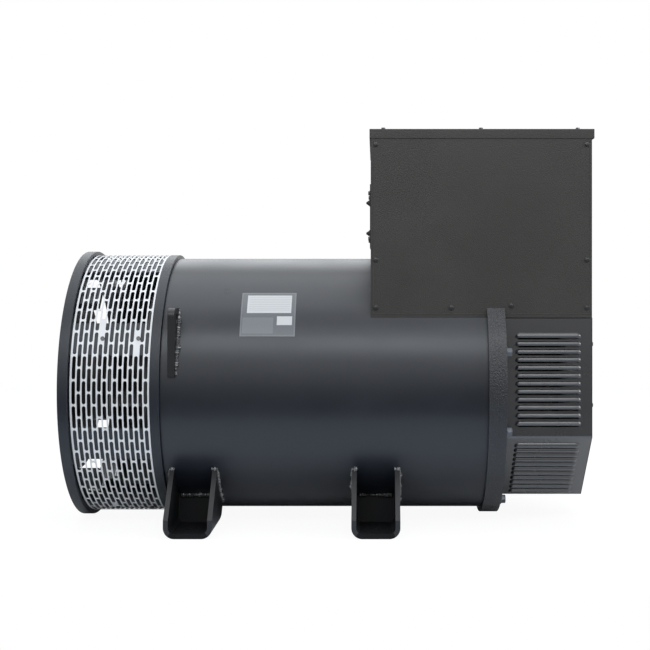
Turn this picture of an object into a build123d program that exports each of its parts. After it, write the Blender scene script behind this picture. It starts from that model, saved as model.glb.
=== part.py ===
from build123d import *

import math
import os

# ---------------------------------------------------------------------------
# Brushless four-pole generator alternator head, single bearing, foot mounted.
# Frame: +X runs along the shaft from the engine to the free end, +Z is up and
# the origin is the centre of the engine flange face. Sizes are millimetres.
# "DE" is the drive end at the engine, "NDE" is the other, non-drive end.
# ---------------------------------------------------------------------------

# Engine interface: housing size 0 with a 14 inch flywheel
FLANGE_OD = 711.2
FLANGE_THICK = 25.0
FLANGE_HOLE_INSET = 15.875
FLANGE_PCD = FLANGE_OD - 2 * FLANGE_HOLE_INSET
FLANGE_HOLES = 16
FLANGE_HOLE_D = 13.5
SPIGOT_D = FLANGE_OD - 63.5
SPIGOT_DEPTH = 6.0
DISC_SETBACK = 25.4
DISC_OD = 466.7
DISC_PCD = DISC_OD - 28.55
DISC_HOLES = 8
DISC_HOLE_D = 13.5
DISC_PACK_THICK = 5.0

# Rolled steel frame, a little smaller than the engine flange
FRAME_R = FLANGE_OD / 2 - 19.6
FRAME_WALL = 8.0
FRAME_DE_RING = 20.0
NDE_RING_X = 1062.0
NDE_RING_THICK = 25.0
NDE_RING_R = FRAME_R + 14.0
NDE_FLANGE_X = NDE_RING_X + NDE_RING_THICK
BOX_RAIL_Y = 150.0
BOX_RAIL_WIDTH = 30.0

# Cast drive-end bracket
BRACKET_LENGTH = 249.0
BRACKET_BORE_R = FRAME_R - 36.0
REAR_RING_THICK = 24.0
REAR_RING_R = FRAME_R + 10.0
ARM_COUNT = 8
ARM_FIRST_ANGLE = 22.5
ARM_HALF_ANGLE = 7.2
ARM_SKIN = 12.0
ARM_RIB = 16.0
ARM_RIB_SETBACK = 4.0
ARM_OUTER_R = FRAME_R + 7.2
BOSS_LENGTH = 55.0
BOSS_WIDTH = 56.0
BOSS_DEPTH = 26.0
BRACKET_BOLT_R = BRACKET_BORE_R + 16.0
BRACKET_BOLT_AF = 22.0
BRACKET_BOLT_HEAD = 9.0

# Perforated outlet screen round the bracket
SCREEN_THICK = 1.5
SCREEN_PLAY = 0.1
SCREEN_SIDE_GAP = 4.0
SCREEN_COLUMN_COUNT = 6
SCREEN_SLOT_COUNT = 24
SCREEN_SLOT_SHARE_X = 0.66
SCREEN_SLOT_SHARE_ARC = 0.90
SCREEN_SCREW_D = 11.0
SCREEN_SCREW_HEAD = 3.5
SCREEN_SCREW_X = (BRACKET_LENGTH - 144.0, BRACKET_LENGTH - 55.0)

# Welded feet
SHAFT_HEIGHT = FRAME_R + 19.0
FOOT_X = (BRACKET_LENGTH + 74.0, NDE_RING_X - 279.0)
FOOT_WIDTH = 120.0
FOOT_PLATE = 12.0
FOOT_BEND_R = 27.0
FOOT_HOLE_Y = FRAME_R - 31.0
FOOT_HOLE_D = 24.0
FOOT_FRONT_Y = FRAME_R + 34.0
FOOT_BACK_Y = FRAME_R - 131.0
FOOT_FRONT_RISE = 45.0
FOOT_TOP_Y = FRAME_R - 65.0
FOOT_TOP_Z = -SHAFT_HEIGHT + 155.0
FOOT_HEEL_Y = FOOT_BACK_Y - 55.0
FOOT_WEB = 10.0
FOOT_WEB_LEAN = 45.0

# Rating plate on the front of the shell
RATING_X = (BRACKET_LENGTH + 194.0, BRACKET_LENGTH + 332.0)
RATING_ANGLE = (24.0, 46.6)
RATING_THICK = 0.8

# Lifting lugs at the drive end
LUG_X = BRACKET_LENGTH + 20.0
LUG_THICK = 18.0
LUG_TOP_Z = 208.0
LUG_BOTTOM_Z = LUG_TOP_Z - 170.0
LUG_OUTER_Y = FRAME_R + 6.0
LUG_CORNER = 20.0
LUG_HOLE_D = 24.0
LUG_HOLE_Y = LUG_OUTER_Y - 30.0
LUG_HOLE_Z = LUG_TOP_Z - 27.0

# Non-drive-end bracket and bearing (90 x 190 x 43)
NDE_FLANGE_THICK = 20.0
NDE_BORE_R = FRAME_R - 66.0
NDE_SPOKES = 8
NDE_SPOKE_WIDTH = 34.0
NDE_BOLT_R = FRAME_R - 2.0
NDE_BOLT_ANGLES = (17.2, 61.5, 118.5, 162.8)
NDE_BOLT_AF = 20.0
NDE_BOLT_HEAD = 11.0
NDE_WASHER_D = 26.0
NDE_WASHER = 3.0
BEARING_OD = 190.0
HUB_R = BEARING_OD / 2 + 33.0
BEARING_BORE = BEARING_OD * 9 / 19
BEARING_WIDTH = BEARING_OD * 43 / 190
BEARING_X = NDE_FLANGE_X + 13.0
BEARING_RACE = BEARING_OD / 19
BEARING_SHIELD_GAP = 0.5
BALLS = 8
BALL_PLAY = 0.05
BALL_FLAT = 0.3
CAGE_THICK = 3.0
CAGE_BAR = 8.0
CAP_THICK = 8.0
CAP_R = BEARING_OD / 2 + 23.0
SHAFT_CLEARANCE = 1.0

# Active iron and windings
CORE_START = BRACKET_LENGTH + 151.0
CORE_END = NDE_RING_X - 62.0
CORE_R = FRAME_R - 36.0
CORE_BORE_R = CORE_R * 53 / 75
STATOR_SLOTS = 48
SLOT_WIDTH = 11.0
SLOT_DEPTH = 34.0
CORE_BARS = 8
CORE_BAR_WIDTH = 34.0
OVERHANG = 80.0
OVERHANG_R_IN = CORE_BORE_R + 8.0
OVERHANG_R_OUT = CORE_R - 24.0
OVERHANG_NOSE = 16.0
AIR_GAP = 3.0
POLE_COUNT = 4
POLE_WIDTH = CORE_BORE_R * 33 / 53
POLE_SHOE_ANGLE = 34.0
POLE_SHOE_THICK = 32.0
ROTOR_HUB_R = CORE_BORE_R * 51 / 106
COIL_THICK = 30.0
COIL_CLEARANCE = 2.0

# Shaft, coupling and fan
SHAFT_DE_R = 65.0
SHAFT_CORE_R = SHAFT_DE_R + 5.0
SHAFT_STEP_R = BEARING_BORE / 2 + 11.0
SHAFT_EXCITER_R = BEARING_BORE / 2 - 3.0
HUB_COUPLING_R = SHAFT_DE_R + 40.0
HUB_COUPLING_LENGTH = 70.0
CLAMP_RING_R = HUB_COUPLING_R - 13.0
CLAMP_RING_THICK = 10.0
CLAMP_BOLTS = 8
CLAMP_BOLT_R = HUB_COUPLING_R - 29.0
CLAMP_BOLT_AF = 18.0
CLAMP_BOLT_HEAD = 8.0
FAN_X = BRACKET_LENGTH - 137.0
FAN_WIDTH = 96.0
FAN_R = BRACKET_BORE_R - 16.0
FAN_EYE_R = FAN_R - 94.0
FAN_HUB_R = SHAFT_DE_R + 31.0
FAN_PLATE = 8.0
FAN_BLADES = 12
FAN_BLADE_THICK = 6.0
FAN_BLADE_LEAN = 22.0

# Exciter and rotating rectifier
EXCITER_X = BEARING_X + BEARING_WIDTH + 25.0
EXCITER_LENGTH = 56.0
EXCITER_STATOR_R = HUB_R + 22.0
EXCITER_ROTOR_R = EXCITER_STATOR_R - 52.0
EXCITER_GAP = 1.5
EXCITER_STUDS = 4
EXCITER_STUD_PCR = EXCITER_STATOR_R - 12.0
EXCITER_STUD_R = 7.0
RECTIFIER_X = EXCITER_X + EXCITER_LENGTH + 14.0
RECTIFIER_R = 96.0
RECTIFIER_THICK = 8.0
DIODES = 6
DIODE_PCR = RECTIFIER_R - 22.0
DIODE_AF = 22.0
DIODE_HEIGHT = 14.0
SHAFT_END = RECTIFIER_X + RECTIFIER_THICK + 20.0

# Louvred non-drive-end cover
COVER_END = SHAFT_END + 61.0
COVER_HALF_WIDTH = NDE_RING_R - 68.0
COVER_FLAT_Y = 111.0
COVER_CHAMFER = COVER_HALF_WIDTH - COVER_FLAT_Y
COVER_BOTTOM_Z = 61.0 - NDE_RING_R
COVER_SHOULDER_Z = COVER_BOTTOM_Z + COVER_CHAMFER
SHEET = 2.0
BOX_BOTTOM_Z = NDE_RING_R - 167.0
LOUVRE_START_X = NDE_FLANGE_X + 47.0
LOUVRE_LENGTH = COVER_END - 28.0 - LOUVRE_START_X
LOUVRE_SIDE_COUNT = 12
LOUVRE_CHAMFER_COUNT = 11
LOUVRE_SIDE_MARGIN = 50.5
LOUVRE_FIRST_Z = BOX_BOTTOM_Z - LOUVRE_SIDE_MARGIN
LOUVRE_PITCH = (LOUVRE_FIRST_Z - COVER_SHOULDER_Z - 10.5) / LOUVRE_SIDE_COUNT
LOUVRE_HOOD_HEIGHT = 13.0
LOUVRE_HOOD_OUT = 6.0
LOUVRE_HOOD_WALL = 1.5
LOUVRE_CHAMFER_MARGIN = 18.0
LOUVRE_CHAMFER_PITCH = (COVER_CHAMFER * math.sqrt(2) - 41.83) / (LOUVRE_CHAMFER_COUNT - 1)

# Terminal box over the frame
BOX_START = NDE_RING_X - 292.0
BOX_END = COVER_END - 1.0
BOX_TOP_Z = NDE_RING_R + 307.0
BOX_RETURN = 22.0
BOX_FLOOR_GAP = 2.0
LID_LIP = 24.0
LID_OVERHANG_DE = 3.0
LID_OVERHANG_NDE = 6.0
LID_OVERHANG_SIDE = 2.0
LID_SCREW_X = (BOX_START + 32.0, (BOX_START + BOX_END) / 2, BOX_END - 34.0)
LID_SCREW_MARGIN = 12.0
SIDE_SCREW_MARGIN = 12.5
SIDE_SCREW_INSET = 202.5
SIDE_SCREW_DROP = 39.0
SIDE_SCREW_RISE = 25.0
SIDE_SCREW_LIFT = 5.0
SIDE_SCREW_PITCH = 120.0
SIDE_SCREW_ENDS = (BOX_START + SIDE_SCREW_MARGIN, BOX_END - SIDE_SCREW_MARGIN)
SIDE_SCREW_LOW_Z = BOX_BOTTOM_Z + SIDE_SCREW_RISE
SIDE_SCREWS = (
    *[(x, BOX_TOP_Z - SIDE_SCREW_DROP) for x in SIDE_SCREW_ENDS],
    *[(x, SIDE_SCREW_LOW_Z + SIDE_SCREW_PITCH) for x in SIDE_SCREW_ENDS],
    *[(x, SIDE_SCREW_LOW_Z) for x in SIDE_SCREW_ENDS],
    (BOX_START + SIDE_SCREW_INSET, SIDE_SCREW_LOW_Z),
    (BOX_END - SIDE_SCREW_INSET, SIDE_SCREW_LOW_Z + SIDE_SCREW_LIFT),
)
COVER_SCREW_DROP = 67.0
COVER_SCREW_PITCH = 154.0
COVER_SCREW_HIGH_Z = BOX_BOTTOM_Z - COVER_SCREW_DROP
COVER_SCREW_Z = (COVER_SCREW_HIGH_Z, COVER_SCREW_HIGH_Z - COVER_SCREW_PITCH)
COVER_SCREW_MARGIN = 20.0
ACCESS_PLATE_DROP = 137.0
ACCESS_PLATE_HEIGHT = 160.0
ACCESS_PLATE_HIGH_Z = BOX_TOP_Z - ACCESS_PLATE_DROP
ACCESS_PLATE_Z = (ACCESS_PLATE_HIGH_Z - ACCESS_PLATE_HEIGHT, ACCESS_PLATE_HIGH_Z)
ACCESS_PLATE_WIDTH = 190.0
ACCESS_PLATE_MARGIN = 20.0
ACCESS_SCREW_MARGIN = 22.5
ACCESS_SCREW_Z = (ACCESS_PLATE_Z[0] + ACCESS_SCREW_MARGIN, ACCESS_PLATE_Z[1] - ACCESS_SCREW_MARGIN)
CONE_MARGIN = 40.5
CONE_Z = (ACCESS_PLATE_Z[0] + CONE_MARGIN, ACCESS_PLATE_Z[1] - CONE_MARGIN)
CONE_R = 9.0
CONE_HEIGHT = 10.0
PLUG_RISE = 88.0
PLUG_Z = BOX_BOTTOM_Z + PLUG_RISE
PLUG_R = 14.0
PLUG_HEIGHT = 6.0
SCREW_AF = 10.0
SCREW_HEAD = 4.5
BOARD_X = BOX_START + 60.0
BOARD_SIZE = (150.0, 300.0, 30.0)
BOARD_NUT_AF = 19.0
BOARD_NUT_HEIGHT = 14.0
REGULATOR_SIZE = (40.0, 160.0, 130.0)
REGULATOR_RISE = 60.0

HALF_TURN = 180.0
FULL_TURN = 360.0


# ---------------------------------------------------------------------------
# Helpers
# ---------------------------------------------------------------------------
def tube(x_start, x_end, outer_r, inner_r=0.0):
    """A turned ring or disc on the shaft line between two stations."""
    face = Plane.YZ.offset(x_start) * Circle(outer_r)
    solid = extrude(face, x_end - x_start)
    if inner_r > 0:
        solid -= extrude(Plane.YZ.offset(x_start) * Circle(inner_r), x_end - x_start)
    return solid


def block(x, y, z):
    """A box given by its (low, high) pair along each axis."""
    centre = [(a + b) / 2 for a, b in (x, y, z)]
    return Pos(*centre) * Box(x[1] - x[0], y[1] - y[0], z[1] - z[0])


def around(piece, count, first=0.0):
    """Copies of a piece spaced evenly round the shaft line."""
    return [Rot(first + k * FULL_TURN / count, 0, 0) * piece for k in range(count)]


def plate_yz(points, x_start, thick):
    """A flat plate across the shaft with a polygon outline in Y and Z."""
    face = Plane.YZ.offset(x_start) * Polygon(*points, align=None)
    return extrude(face, thick, dir=(1, 0, 0))


def mirrored(piece):
    """The same piece on the other side of the machine."""
    return piece.mirror(Plane.XZ)


def hex_head(x, y, z, across_flats, height, direction):
    """A hexagon screw head standing on a surface and pointing along direction."""
    plane = Plane(origin=(x, y, z), z_dir=direction)
    head = RegularPolygon(across_flats / math.sqrt(3), 6)
    return extrude(plane * head, height)


def group(pieces):
    """Separate solids kept together in one node."""
    return Compound(children=list(pieces))


# ---------------------------------------------------------------------------
# Drive-end bracket, outlet screen and their fixings
# ---------------------------------------------------------------------------
SCREEN_X0 = FLANGE_THICK + SCREEN_SIDE_GAP
REAR_RING_X = BRACKET_LENGTH - REAR_RING_THICK
SCREEN_IN_R = ARM_OUTER_R + SCREEN_PLAY
SCREEN_R = SCREEN_IN_R + SCREEN_THICK
WINDOW_FIRST_ANGLE = ARM_FIRST_ANGLE + FULL_TURN / ARM_COUNT / 2


def make_bracket():
    """Casting: engine flange with spigot, eight T-section arms and rear ring."""
    body = tube(0, FLANGE_THICK, FLANGE_OD / 2, BRACKET_BORE_R)
    body += tube(-SPIGOT_DEPTH, 0, SPIGOT_D / 2, BRACKET_BORE_R)
    body += tube(REAR_RING_X, BRACKET_LENGTH, REAR_RING_R, BRACKET_BORE_R)

    reach = FLANGE_OD
    half = math.radians(ARM_HALF_ANGLE)
    wedge = [(0, 0), (reach, reach * math.tan(half)), (reach, -reach * math.tan(half))]
    skin = tube(FLANGE_THICK, REAR_RING_X, ARM_OUTER_R, ARM_OUTER_R - ARM_SKIN)
    skin &= plate_yz(wedge, FLANGE_THICK, REAR_RING_X - FLANGE_THICK)
    rib = block(
        (FLANGE_THICK, REAR_RING_X),
        (BRACKET_BORE_R + ARM_RIB_SETBACK, ARM_OUTER_R - ARM_SKIN / 2),
        (-ARM_RIB / 2, ARM_RIB / 2),
    )
    body += around(skin + rib, ARM_COUNT, ARM_FIRST_ANGLE)

    boss = block(
        (FLANGE_THICK, FLANGE_THICK + BOSS_LENGTH),
        (ARM_OUTER_R - BOSS_DEPTH - ARM_SKIN / 2, ARM_OUTER_R - ARM_SKIN / 2),
        (-BOSS_WIDTH / 2, BOSS_WIDTH / 2),
    )
    body += around(boss, ARM_COUNT // 2, FULL_TURN / ARM_COUNT)

    hole = extrude(
        Plane.YZ.offset(0) * Pos(FLANGE_PCD / 2, 0) * Circle(FLANGE_HOLE_D / 2),
        FLANGE_THICK,
    )
    body -= around(hole, FLANGE_HOLES, FULL_TURN / FLANGE_HOLES / 2)
    return body


def make_screen_panels():
    """Perforated sheet with staggered slots, folded in flats, one panel per window."""
    start = Plane.YZ.offset(SCREEN_X0)
    flats = 2 * SCREEN_SLOT_COUNT
    turn = HALF_TURN / flats
    outer = start * RegularPolygon(SCREEN_R, flats, major_radius=False, rotation=turn)
    inner = start * RegularPolygon(SCREEN_IN_R, flats, major_radius=False, rotation=turn)
    band = extrude(outer - inner, REAR_RING_X - SCREEN_X0, dir=(1, 0, 0))
    pitch_x = (REAR_RING_X - SCREEN_X0) / SCREEN_COLUMN_COUNT
    slot_x = pitch_x * SCREEN_SLOT_SHARE_X
    step = FULL_TURN / SCREEN_SLOT_COUNT
    half = math.radians(step * SCREEN_SLOT_SHARE_ARC / 2)
    reach = SCREEN_R * 1.1
    outline = [
        (0, 0),
        (reach, reach * math.tan(half)),
        (reach, -reach * math.tan(half)),
    ]
    core = tube(SCREEN_X0, REAR_RING_X, ARM_OUTER_R - SCREEN_THICK)
    cutters = []
    for column in range(SCREEN_COLUMN_COUNT):
        x_start = SCREEN_X0 + (column + 0.5) * pitch_x - slot_x / 2
        cutter = plate_yz(outline, x_start, slot_x) - core
        first = step / 2 * (column % 2)
        cutters += around(cutter, SCREEN_SLOT_COUNT, first)
    band -= cutters

    panel = FULL_TURN / ARM_COUNT
    edge = math.radians(panel / 2)
    sector = plate_yz(
        [(0, 0), (reach, reach * math.tan(edge)), (reach, -reach * math.tan(edge))],
        SCREEN_X0,
        REAR_RING_X - SCREEN_X0,
    )
    return [band & piece for piece in around(sector, ARM_COUNT, WINDOW_FIRST_ANGLE)]


screen_panels = make_screen_panels()
SCREEN_SCREW_FIRST_ANGLE = ARM_FIRST_ANGLE + FULL_TURN / ARM_COUNT


def make_screen_screws():
    """Button heads that hold the screen to every other bracket arm."""
    heads = []
    for x in SCREEN_SCREW_X:
        plane = Plane(origin=(x, SCREEN_R, 0), z_dir=(0, 1, 0))
        head = extrude(plane * RegularPolygon(SCREEN_SCREW_D / 2, 8), SCREEN_SCREW_HEAD)
        heads += around(head, ARM_COUNT // 2, SCREEN_SCREW_FIRST_ANGLE)
    return group(heads)


def make_bracket_bolts():
    """Hexagon screws inside the bracket that clamp it to the frame."""
    head = hex_head(
        REAR_RING_X,
        BRACKET_BOLT_R,
        0,
        BRACKET_BOLT_AF,
        BRACKET_BOLT_HEAD,
        (-1, 0, 0),
    )
    return group(around(head, ARM_COUNT, 0))


# ---------------------------------------------------------------------------
# Frame, feet and lifting lugs
# ---------------------------------------------------------------------------
NDE_FACE_X = NDE_FLANGE_X + NDE_FLANGE_THICK
BOX_FLOOR_Z = NDE_RING_R + BOX_FLOOR_GAP
FRAME_IN_R = FRAME_R - FRAME_WALL


def make_frame():
    """Rolled shell with the drive-end joint ring welded inside."""
    shell = tube(BRACKET_LENGTH, NDE_FLANGE_X, FRAME_R, FRAME_IN_R)
    shell += tube(
        BRACKET_LENGTH,
        BRACKET_LENGTH + FRAME_DE_RING,
        FRAME_IN_R + FRAME_WALL / 2,
        BRACKET_BORE_R,
    )
    return shell


def make_nde_ring():
    """Heavy ring welded round the free end of the shell."""
    return tube(NDE_RING_X, NDE_FLANGE_X, NDE_RING_R, FRAME_R)


def make_box_rails():
    """Two saddle bars on top of the shell that carry the terminal box floor."""
    low_z = math.sqrt(FRAME_R**2 - (BOX_RAIL_Y + BOX_RAIL_WIDTH / 2) ** 2)
    rail = block(
        (BOX_START + SHEET, NDE_RING_X),
        (BOX_RAIL_Y - BOX_RAIL_WIDTH / 2, BOX_RAIL_Y + BOX_RAIL_WIDTH / 2),
        (low_z, BOX_FLOOR_Z),
    )
    rail -= tube(BOX_START, NDE_FLANGE_X, FRAME_R)
    return group([rail, mirrored(rail)])


def make_foot(x_centre):
    """Bent U-plate with an inner web, open to the side of the machine."""
    outer = FOOT_WIDTH / 2
    top = SHAFT_HEIGHT / 2
    profile = Pos(0, top) * Rectangle(FOOT_WIDTH, SHAFT_HEIGHT)
    profile = fillet(profile.vertices().group_by(Axis.Y)[0], FOOT_BEND_R)
    inside = Pos(0, top + FOOT_PLATE) * Rectangle(
        FOOT_WIDTH - 2 * FOOT_PLATE, SHAFT_HEIGHT
    )
    inside = fillet(inside.vertices().group_by(Axis.Y)[0], FOOT_BEND_R - FOOT_PLATE)
    plane = Plane(
        origin=(x_centre, 0, -SHAFT_HEIGHT), x_dir=(1, 0, 0), z_dir=(0, -1, 0)
    )
    channel = extrude(plane * (profile - inside), FOOT_FRONT_Y)

    side = [
        (-FOOT_FRONT_Y, -SHAFT_HEIGHT),
        (-FOOT_FRONT_Y, -SHAFT_HEIGHT + FOOT_FRONT_RISE),
        (-FOOT_TOP_Y, FOOT_TOP_Z),
        (-FOOT_HEEL_Y, FOOT_TOP_Z),
        (-FOOT_HEEL_Y, -math.sqrt(FRAME_R**2 - FOOT_HEEL_Y**2)),
        (-FOOT_BACK_Y, -SHAFT_HEIGHT),
    ]
    channel &= plate_yz(side, x_centre - outer, FOOT_WIDTH)

    base_z = -SHAFT_HEIGHT + FOOT_PLATE
    web_top = FOOT_BACK_Y - FOOT_WEB_LEAN
    web = plate_yz(
        [
            (-FOOT_BACK_Y, base_z),
            (-FOOT_BACK_Y - FOOT_WEB, base_z),
            (-web_top - FOOT_WEB, FOOT_TOP_Z),
            (-web_top, FOOT_TOP_Z),
        ],
        x_centre - outer + FOOT_PLATE,
        FOOT_WIDTH - 2 * FOOT_PLATE,
    )
    foot = channel + web
    foot -= tube(x_centre - outer, x_centre + outer, FRAME_R)
    foot -= Pos(x_centre, -FOOT_HOLE_Y, -SHAFT_HEIGHT + FOOT_PLATE / 2) * Cylinder(
        FOOT_HOLE_D / 2, 3 * FOOT_PLATE
    )
    return foot


def make_rating_plate():
    """Thin curved plate that lies on the front of the shell."""
    plate = tube(*RATING_X, FRAME_R + RATING_THICK, FRAME_R)
    low, high = (math.radians(HALF_TURN - angle) for angle in RATING_ANGLE)
    reach = FRAME_R * 1.3
    return plate & plate_yz(
        [
            (0, 0),
            (reach * math.cos(low), reach * math.sin(low)),
            (reach * math.cos(high), reach * math.sin(high)),
        ],
        RATING_X[0],
        RATING_X[1] - RATING_X[0],
    )


def make_lug():
    """Lifting plate across the frame with a shackle hole."""
    outline = [
        (-LUG_OUTER_Y, LUG_BOTTOM_Z),
        (-LUG_OUTER_Y, LUG_TOP_Z),
        (-FRAME_R / 2, LUG_TOP_Z),
        (-FRAME_R / 2, LUG_BOTTOM_Z),
    ]
    lug = plate_yz(outline, LUG_X, LUG_THICK)
    corner = lug.edges().filter_by(Axis.X).sort_by(Axis.Z)[-2:].sort_by(Axis.Y)[0]
    lug = fillet(corner, LUG_CORNER)
    lug -= tube(LUG_X, LUG_X + LUG_THICK, FRAME_R)
    lug -= extrude(
        Plane.YZ.offset(LUG_X)
        * Pos(-LUG_HOLE_Y, LUG_HOLE_Z)
        * Circle(LUG_HOLE_D / 2),
        LUG_THICK,
    )
    return lug


# ---------------------------------------------------------------------------
# Non-drive-end bracket, bearing and caps
# ---------------------------------------------------------------------------
BEARING_END = BEARING_X + BEARING_WIDTH
HUB_START = NDE_FLANGE_X
HUB_END = BEARING_END


def make_nde_bracket():
    """Casting: flange ring, spokes and bearing hub."""
    body = tube(NDE_FLANGE_X, NDE_FACE_X, NDE_RING_R, NDE_BORE_R)
    body += tube(HUB_START, HUB_END, HUB_R)
    spoke = block(
        (NDE_FLANGE_X, NDE_FACE_X),
        (HUB_R - 10, NDE_BORE_R + 10),
        (-NDE_SPOKE_WIDTH / 2, NDE_SPOKE_WIDTH / 2),
    )
    body += around(spoke, NDE_SPOKES, FULL_TURN / NDE_SPOKES / 2)
    body -= tube(HUB_START, HUB_END, BEARING_OD / 2)
    return body


def make_bearing_outer():
    """Outer race of the sealed ball bearing, with its two shields."""
    outer = BEARING_OD / 2
    inner = BEARING_BORE / 2
    race = tube(BEARING_X, BEARING_END, outer, outer - BEARING_RACE)
    shield_in = inner + BEARING_RACE + BEARING_SHIELD_GAP
    shield_out = outer - BEARING_RACE
    for x in (BEARING_X, BEARING_END - SHEET):
        race += tube(x, x + SHEET, shield_out + SHEET, shield_in)
    return race


def make_bearing_inner():
    """Inner race, pressed on the shaft."""
    inner = BEARING_BORE / 2
    return tube(BEARING_X, BEARING_END, inner + BEARING_RACE, inner)


BALL_PITCH_R = (BEARING_OD + BEARING_BORE) / 4
BALL_R = (BEARING_OD / 2 - BEARING_RACE) - BALL_PITCH_R - BALL_PLAY


def make_bearing_balls():
    """Balls between the two races, each faceted with eighteen flats."""
    middle = BEARING_X + BEARING_WIDTH / 2
    width = 2 * (BALL_R - BALL_FLAT)
    cube = Box(width, width, width)
    eighth = FULL_TURN / 8
    ball = cube & (Rot(eighth, 0, 0) * cube)
    ball = ball & (Rot(0, eighth, 0) * cube) & (Rot(0, 0, eighth) * cube)
    return group(around(Pos(middle, BALL_PITCH_R, 0) * ball, BALLS))


def make_bearing_cage():
    """Cage of two rings joined by a bar between every two balls."""
    middle = BEARING_X + BEARING_WIDTH / 2
    near = BALL_R + BALL_PLAY
    low, high = BALL_PITCH_R - CAGE_BAR / 2, BALL_PITCH_R + CAGE_BAR / 2
    bar = block(
        (middle - near - CAGE_THICK / 2, middle + near + CAGE_THICK / 2),
        (BALL_PITCH_R - CAGE_THICK / 2, BALL_PITCH_R + CAGE_THICK / 2),
        (-CAGE_BAR / 2, CAGE_BAR / 2),
    )
    cage = tube(middle - near - CAGE_THICK, middle - near, high, low)
    cage += tube(middle + near, middle + near + CAGE_THICK, high, low)
    return cage + around(bar, BALLS, HALF_TURN / BALLS)


def make_bearing_cap(x_start, bore_r):
    """Plain grease cap screwed to the hub."""
    return tube(x_start, x_start + CAP_THICK, CAP_R, bore_r + SHAFT_CLEARANCE)


def make_nde_bolts():
    """Hexagon screws and washers round the non-drive-end flange."""
    pieces = []
    for angle in NDE_BOLT_ANGLES:
        for side in (-1, 1):
            turn = Rot(side * angle, 0, 0)
            washer = extrude(
                Plane.YZ.offset(NDE_FACE_X)
                * Pos(NDE_BOLT_R, 0)
                * RegularPolygon(NDE_WASHER_D / 2, 12),
                NDE_WASHER,
            )
            head = hex_head(
                NDE_FACE_X + NDE_WASHER,
                NDE_BOLT_R,
                0,
                NDE_BOLT_AF,
                NDE_BOLT_HEAD,
                (1, 0, 0),
            )
            pieces += [turn * washer, turn * head]
    return group(pieces)


# ---------------------------------------------------------------------------
# Stator
# ---------------------------------------------------------------------------
def make_stator_core():
    """Stamped laminations with parallel-sided slots open to the bore."""
    core = tube(CORE_START, CORE_END, CORE_R, CORE_BORE_R)
    slot = block(
        (CORE_START, CORE_END),
        (CORE_BORE_R - SLOT_DEPTH / 2, CORE_BORE_R + SLOT_DEPTH),
        (-SLOT_WIDTH / 2, SLOT_WIDTH / 2),
    )
    return core - around(slot, STATOR_SLOTS)


def make_core_bars():
    """Welded bars that hold the core in the shell and leave air ducts between."""
    bar = block(
        (CORE_START, CORE_END),
        (CORE_R - CORE_BAR_WIDTH / 2, FRAME_R),
        (-CORE_BAR_WIDTH / 2, CORE_BAR_WIDTH / 2),
    )
    bar &= tube(CORE_START, CORE_END, FRAME_IN_R, CORE_R)
    return group(around(bar, CORE_BARS))


def make_overhang(x_core, direction):
    """One winding overhang, a ring of coil ends with a bevelled nose."""
    tip = x_core + direction * OVERHANG
    shoulder = tip - direction * OVERHANG_NOSE
    profile = Polygon(
        (x_core, OVERHANG_R_IN),
        (shoulder, OVERHANG_R_IN),
        (tip, OVERHANG_R_IN + OVERHANG_NOSE),
        (tip, OVERHANG_R_OUT - OVERHANG_NOSE),
        (shoulder, OVERHANG_R_OUT),
        (x_core, OVERHANG_R_OUT),
        align=None,
    )
    return revolve(profile, Axis.X)


# ---------------------------------------------------------------------------
# Rotor
# ---------------------------------------------------------------------------
ROTOR_R = CORE_BORE_R - AIR_GAP
SHOE_IN_R = ROTOR_R - POLE_SHOE_THICK


def make_shaft():
    """Stepped shaft turned from one bar."""
    shaft = tube(-DISC_SETBACK + DISC_PACK_THICK, CORE_START, SHAFT_DE_R)
    shaft += tube(CORE_START, CORE_END, SHAFT_CORE_R)
    shaft += tube(CORE_END, BEARING_X, SHAFT_STEP_R)
    shaft += tube(BEARING_X, BEARING_END, BEARING_BORE / 2)
    shaft += tube(BEARING_END, SHAFT_END, SHAFT_EXCITER_R)
    return shaft


def make_rotor_core():
    """Salient-pole lamination stack with a flared shoe on every pole."""
    stack = tube(CORE_START, CORE_END, ROTOR_HUB_R)
    half = math.radians(POLE_SHOE_ANGLE)
    reach = ROTOR_R * 2
    wedge = [(0, 0), (reach, reach * math.tan(half)), (reach, -reach * math.tan(half))]
    shoe = tube(CORE_START, CORE_END, ROTOR_R) & plate_yz(
        wedge, CORE_START, CORE_END - CORE_START
    )
    shoe -= block(
        (CORE_START, CORE_END),
        (0, SHOE_IN_R),
        (-reach, reach),
    )
    neck = block(
        (CORE_START, CORE_END),
        (0, SHOE_IN_R + POLE_SHOE_THICK / 2),
        (-POLE_WIDTH / 2, POLE_WIDTH / 2),
    )
    stack += around(shoe + neck, POLE_COUNT, HALF_TURN / POLE_COUNT)
    return stack - tube(CORE_START, CORE_END, SHAFT_CORE_R)


def make_field_coils():
    """Four rectangular coils, one round the neck of each pole."""
    low = ROTOR_HUB_R + COIL_CLEARANCE
    high = SHOE_IN_R - COIL_CLEARANCE
    near = POLE_WIDTH / 2
    far = near + COIL_THICK
    low = max(low, far + COIL_CLEARANCE)
    coil = block(
        (CORE_START - COIL_THICK, CORE_END + COIL_THICK), (low, high), (-far, far)
    )
    coil -= block((CORE_START, CORE_END), (low, high), (-near, near))
    return group(around(coil, POLE_COUNT, HALF_TURN / POLE_COUNT))


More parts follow.
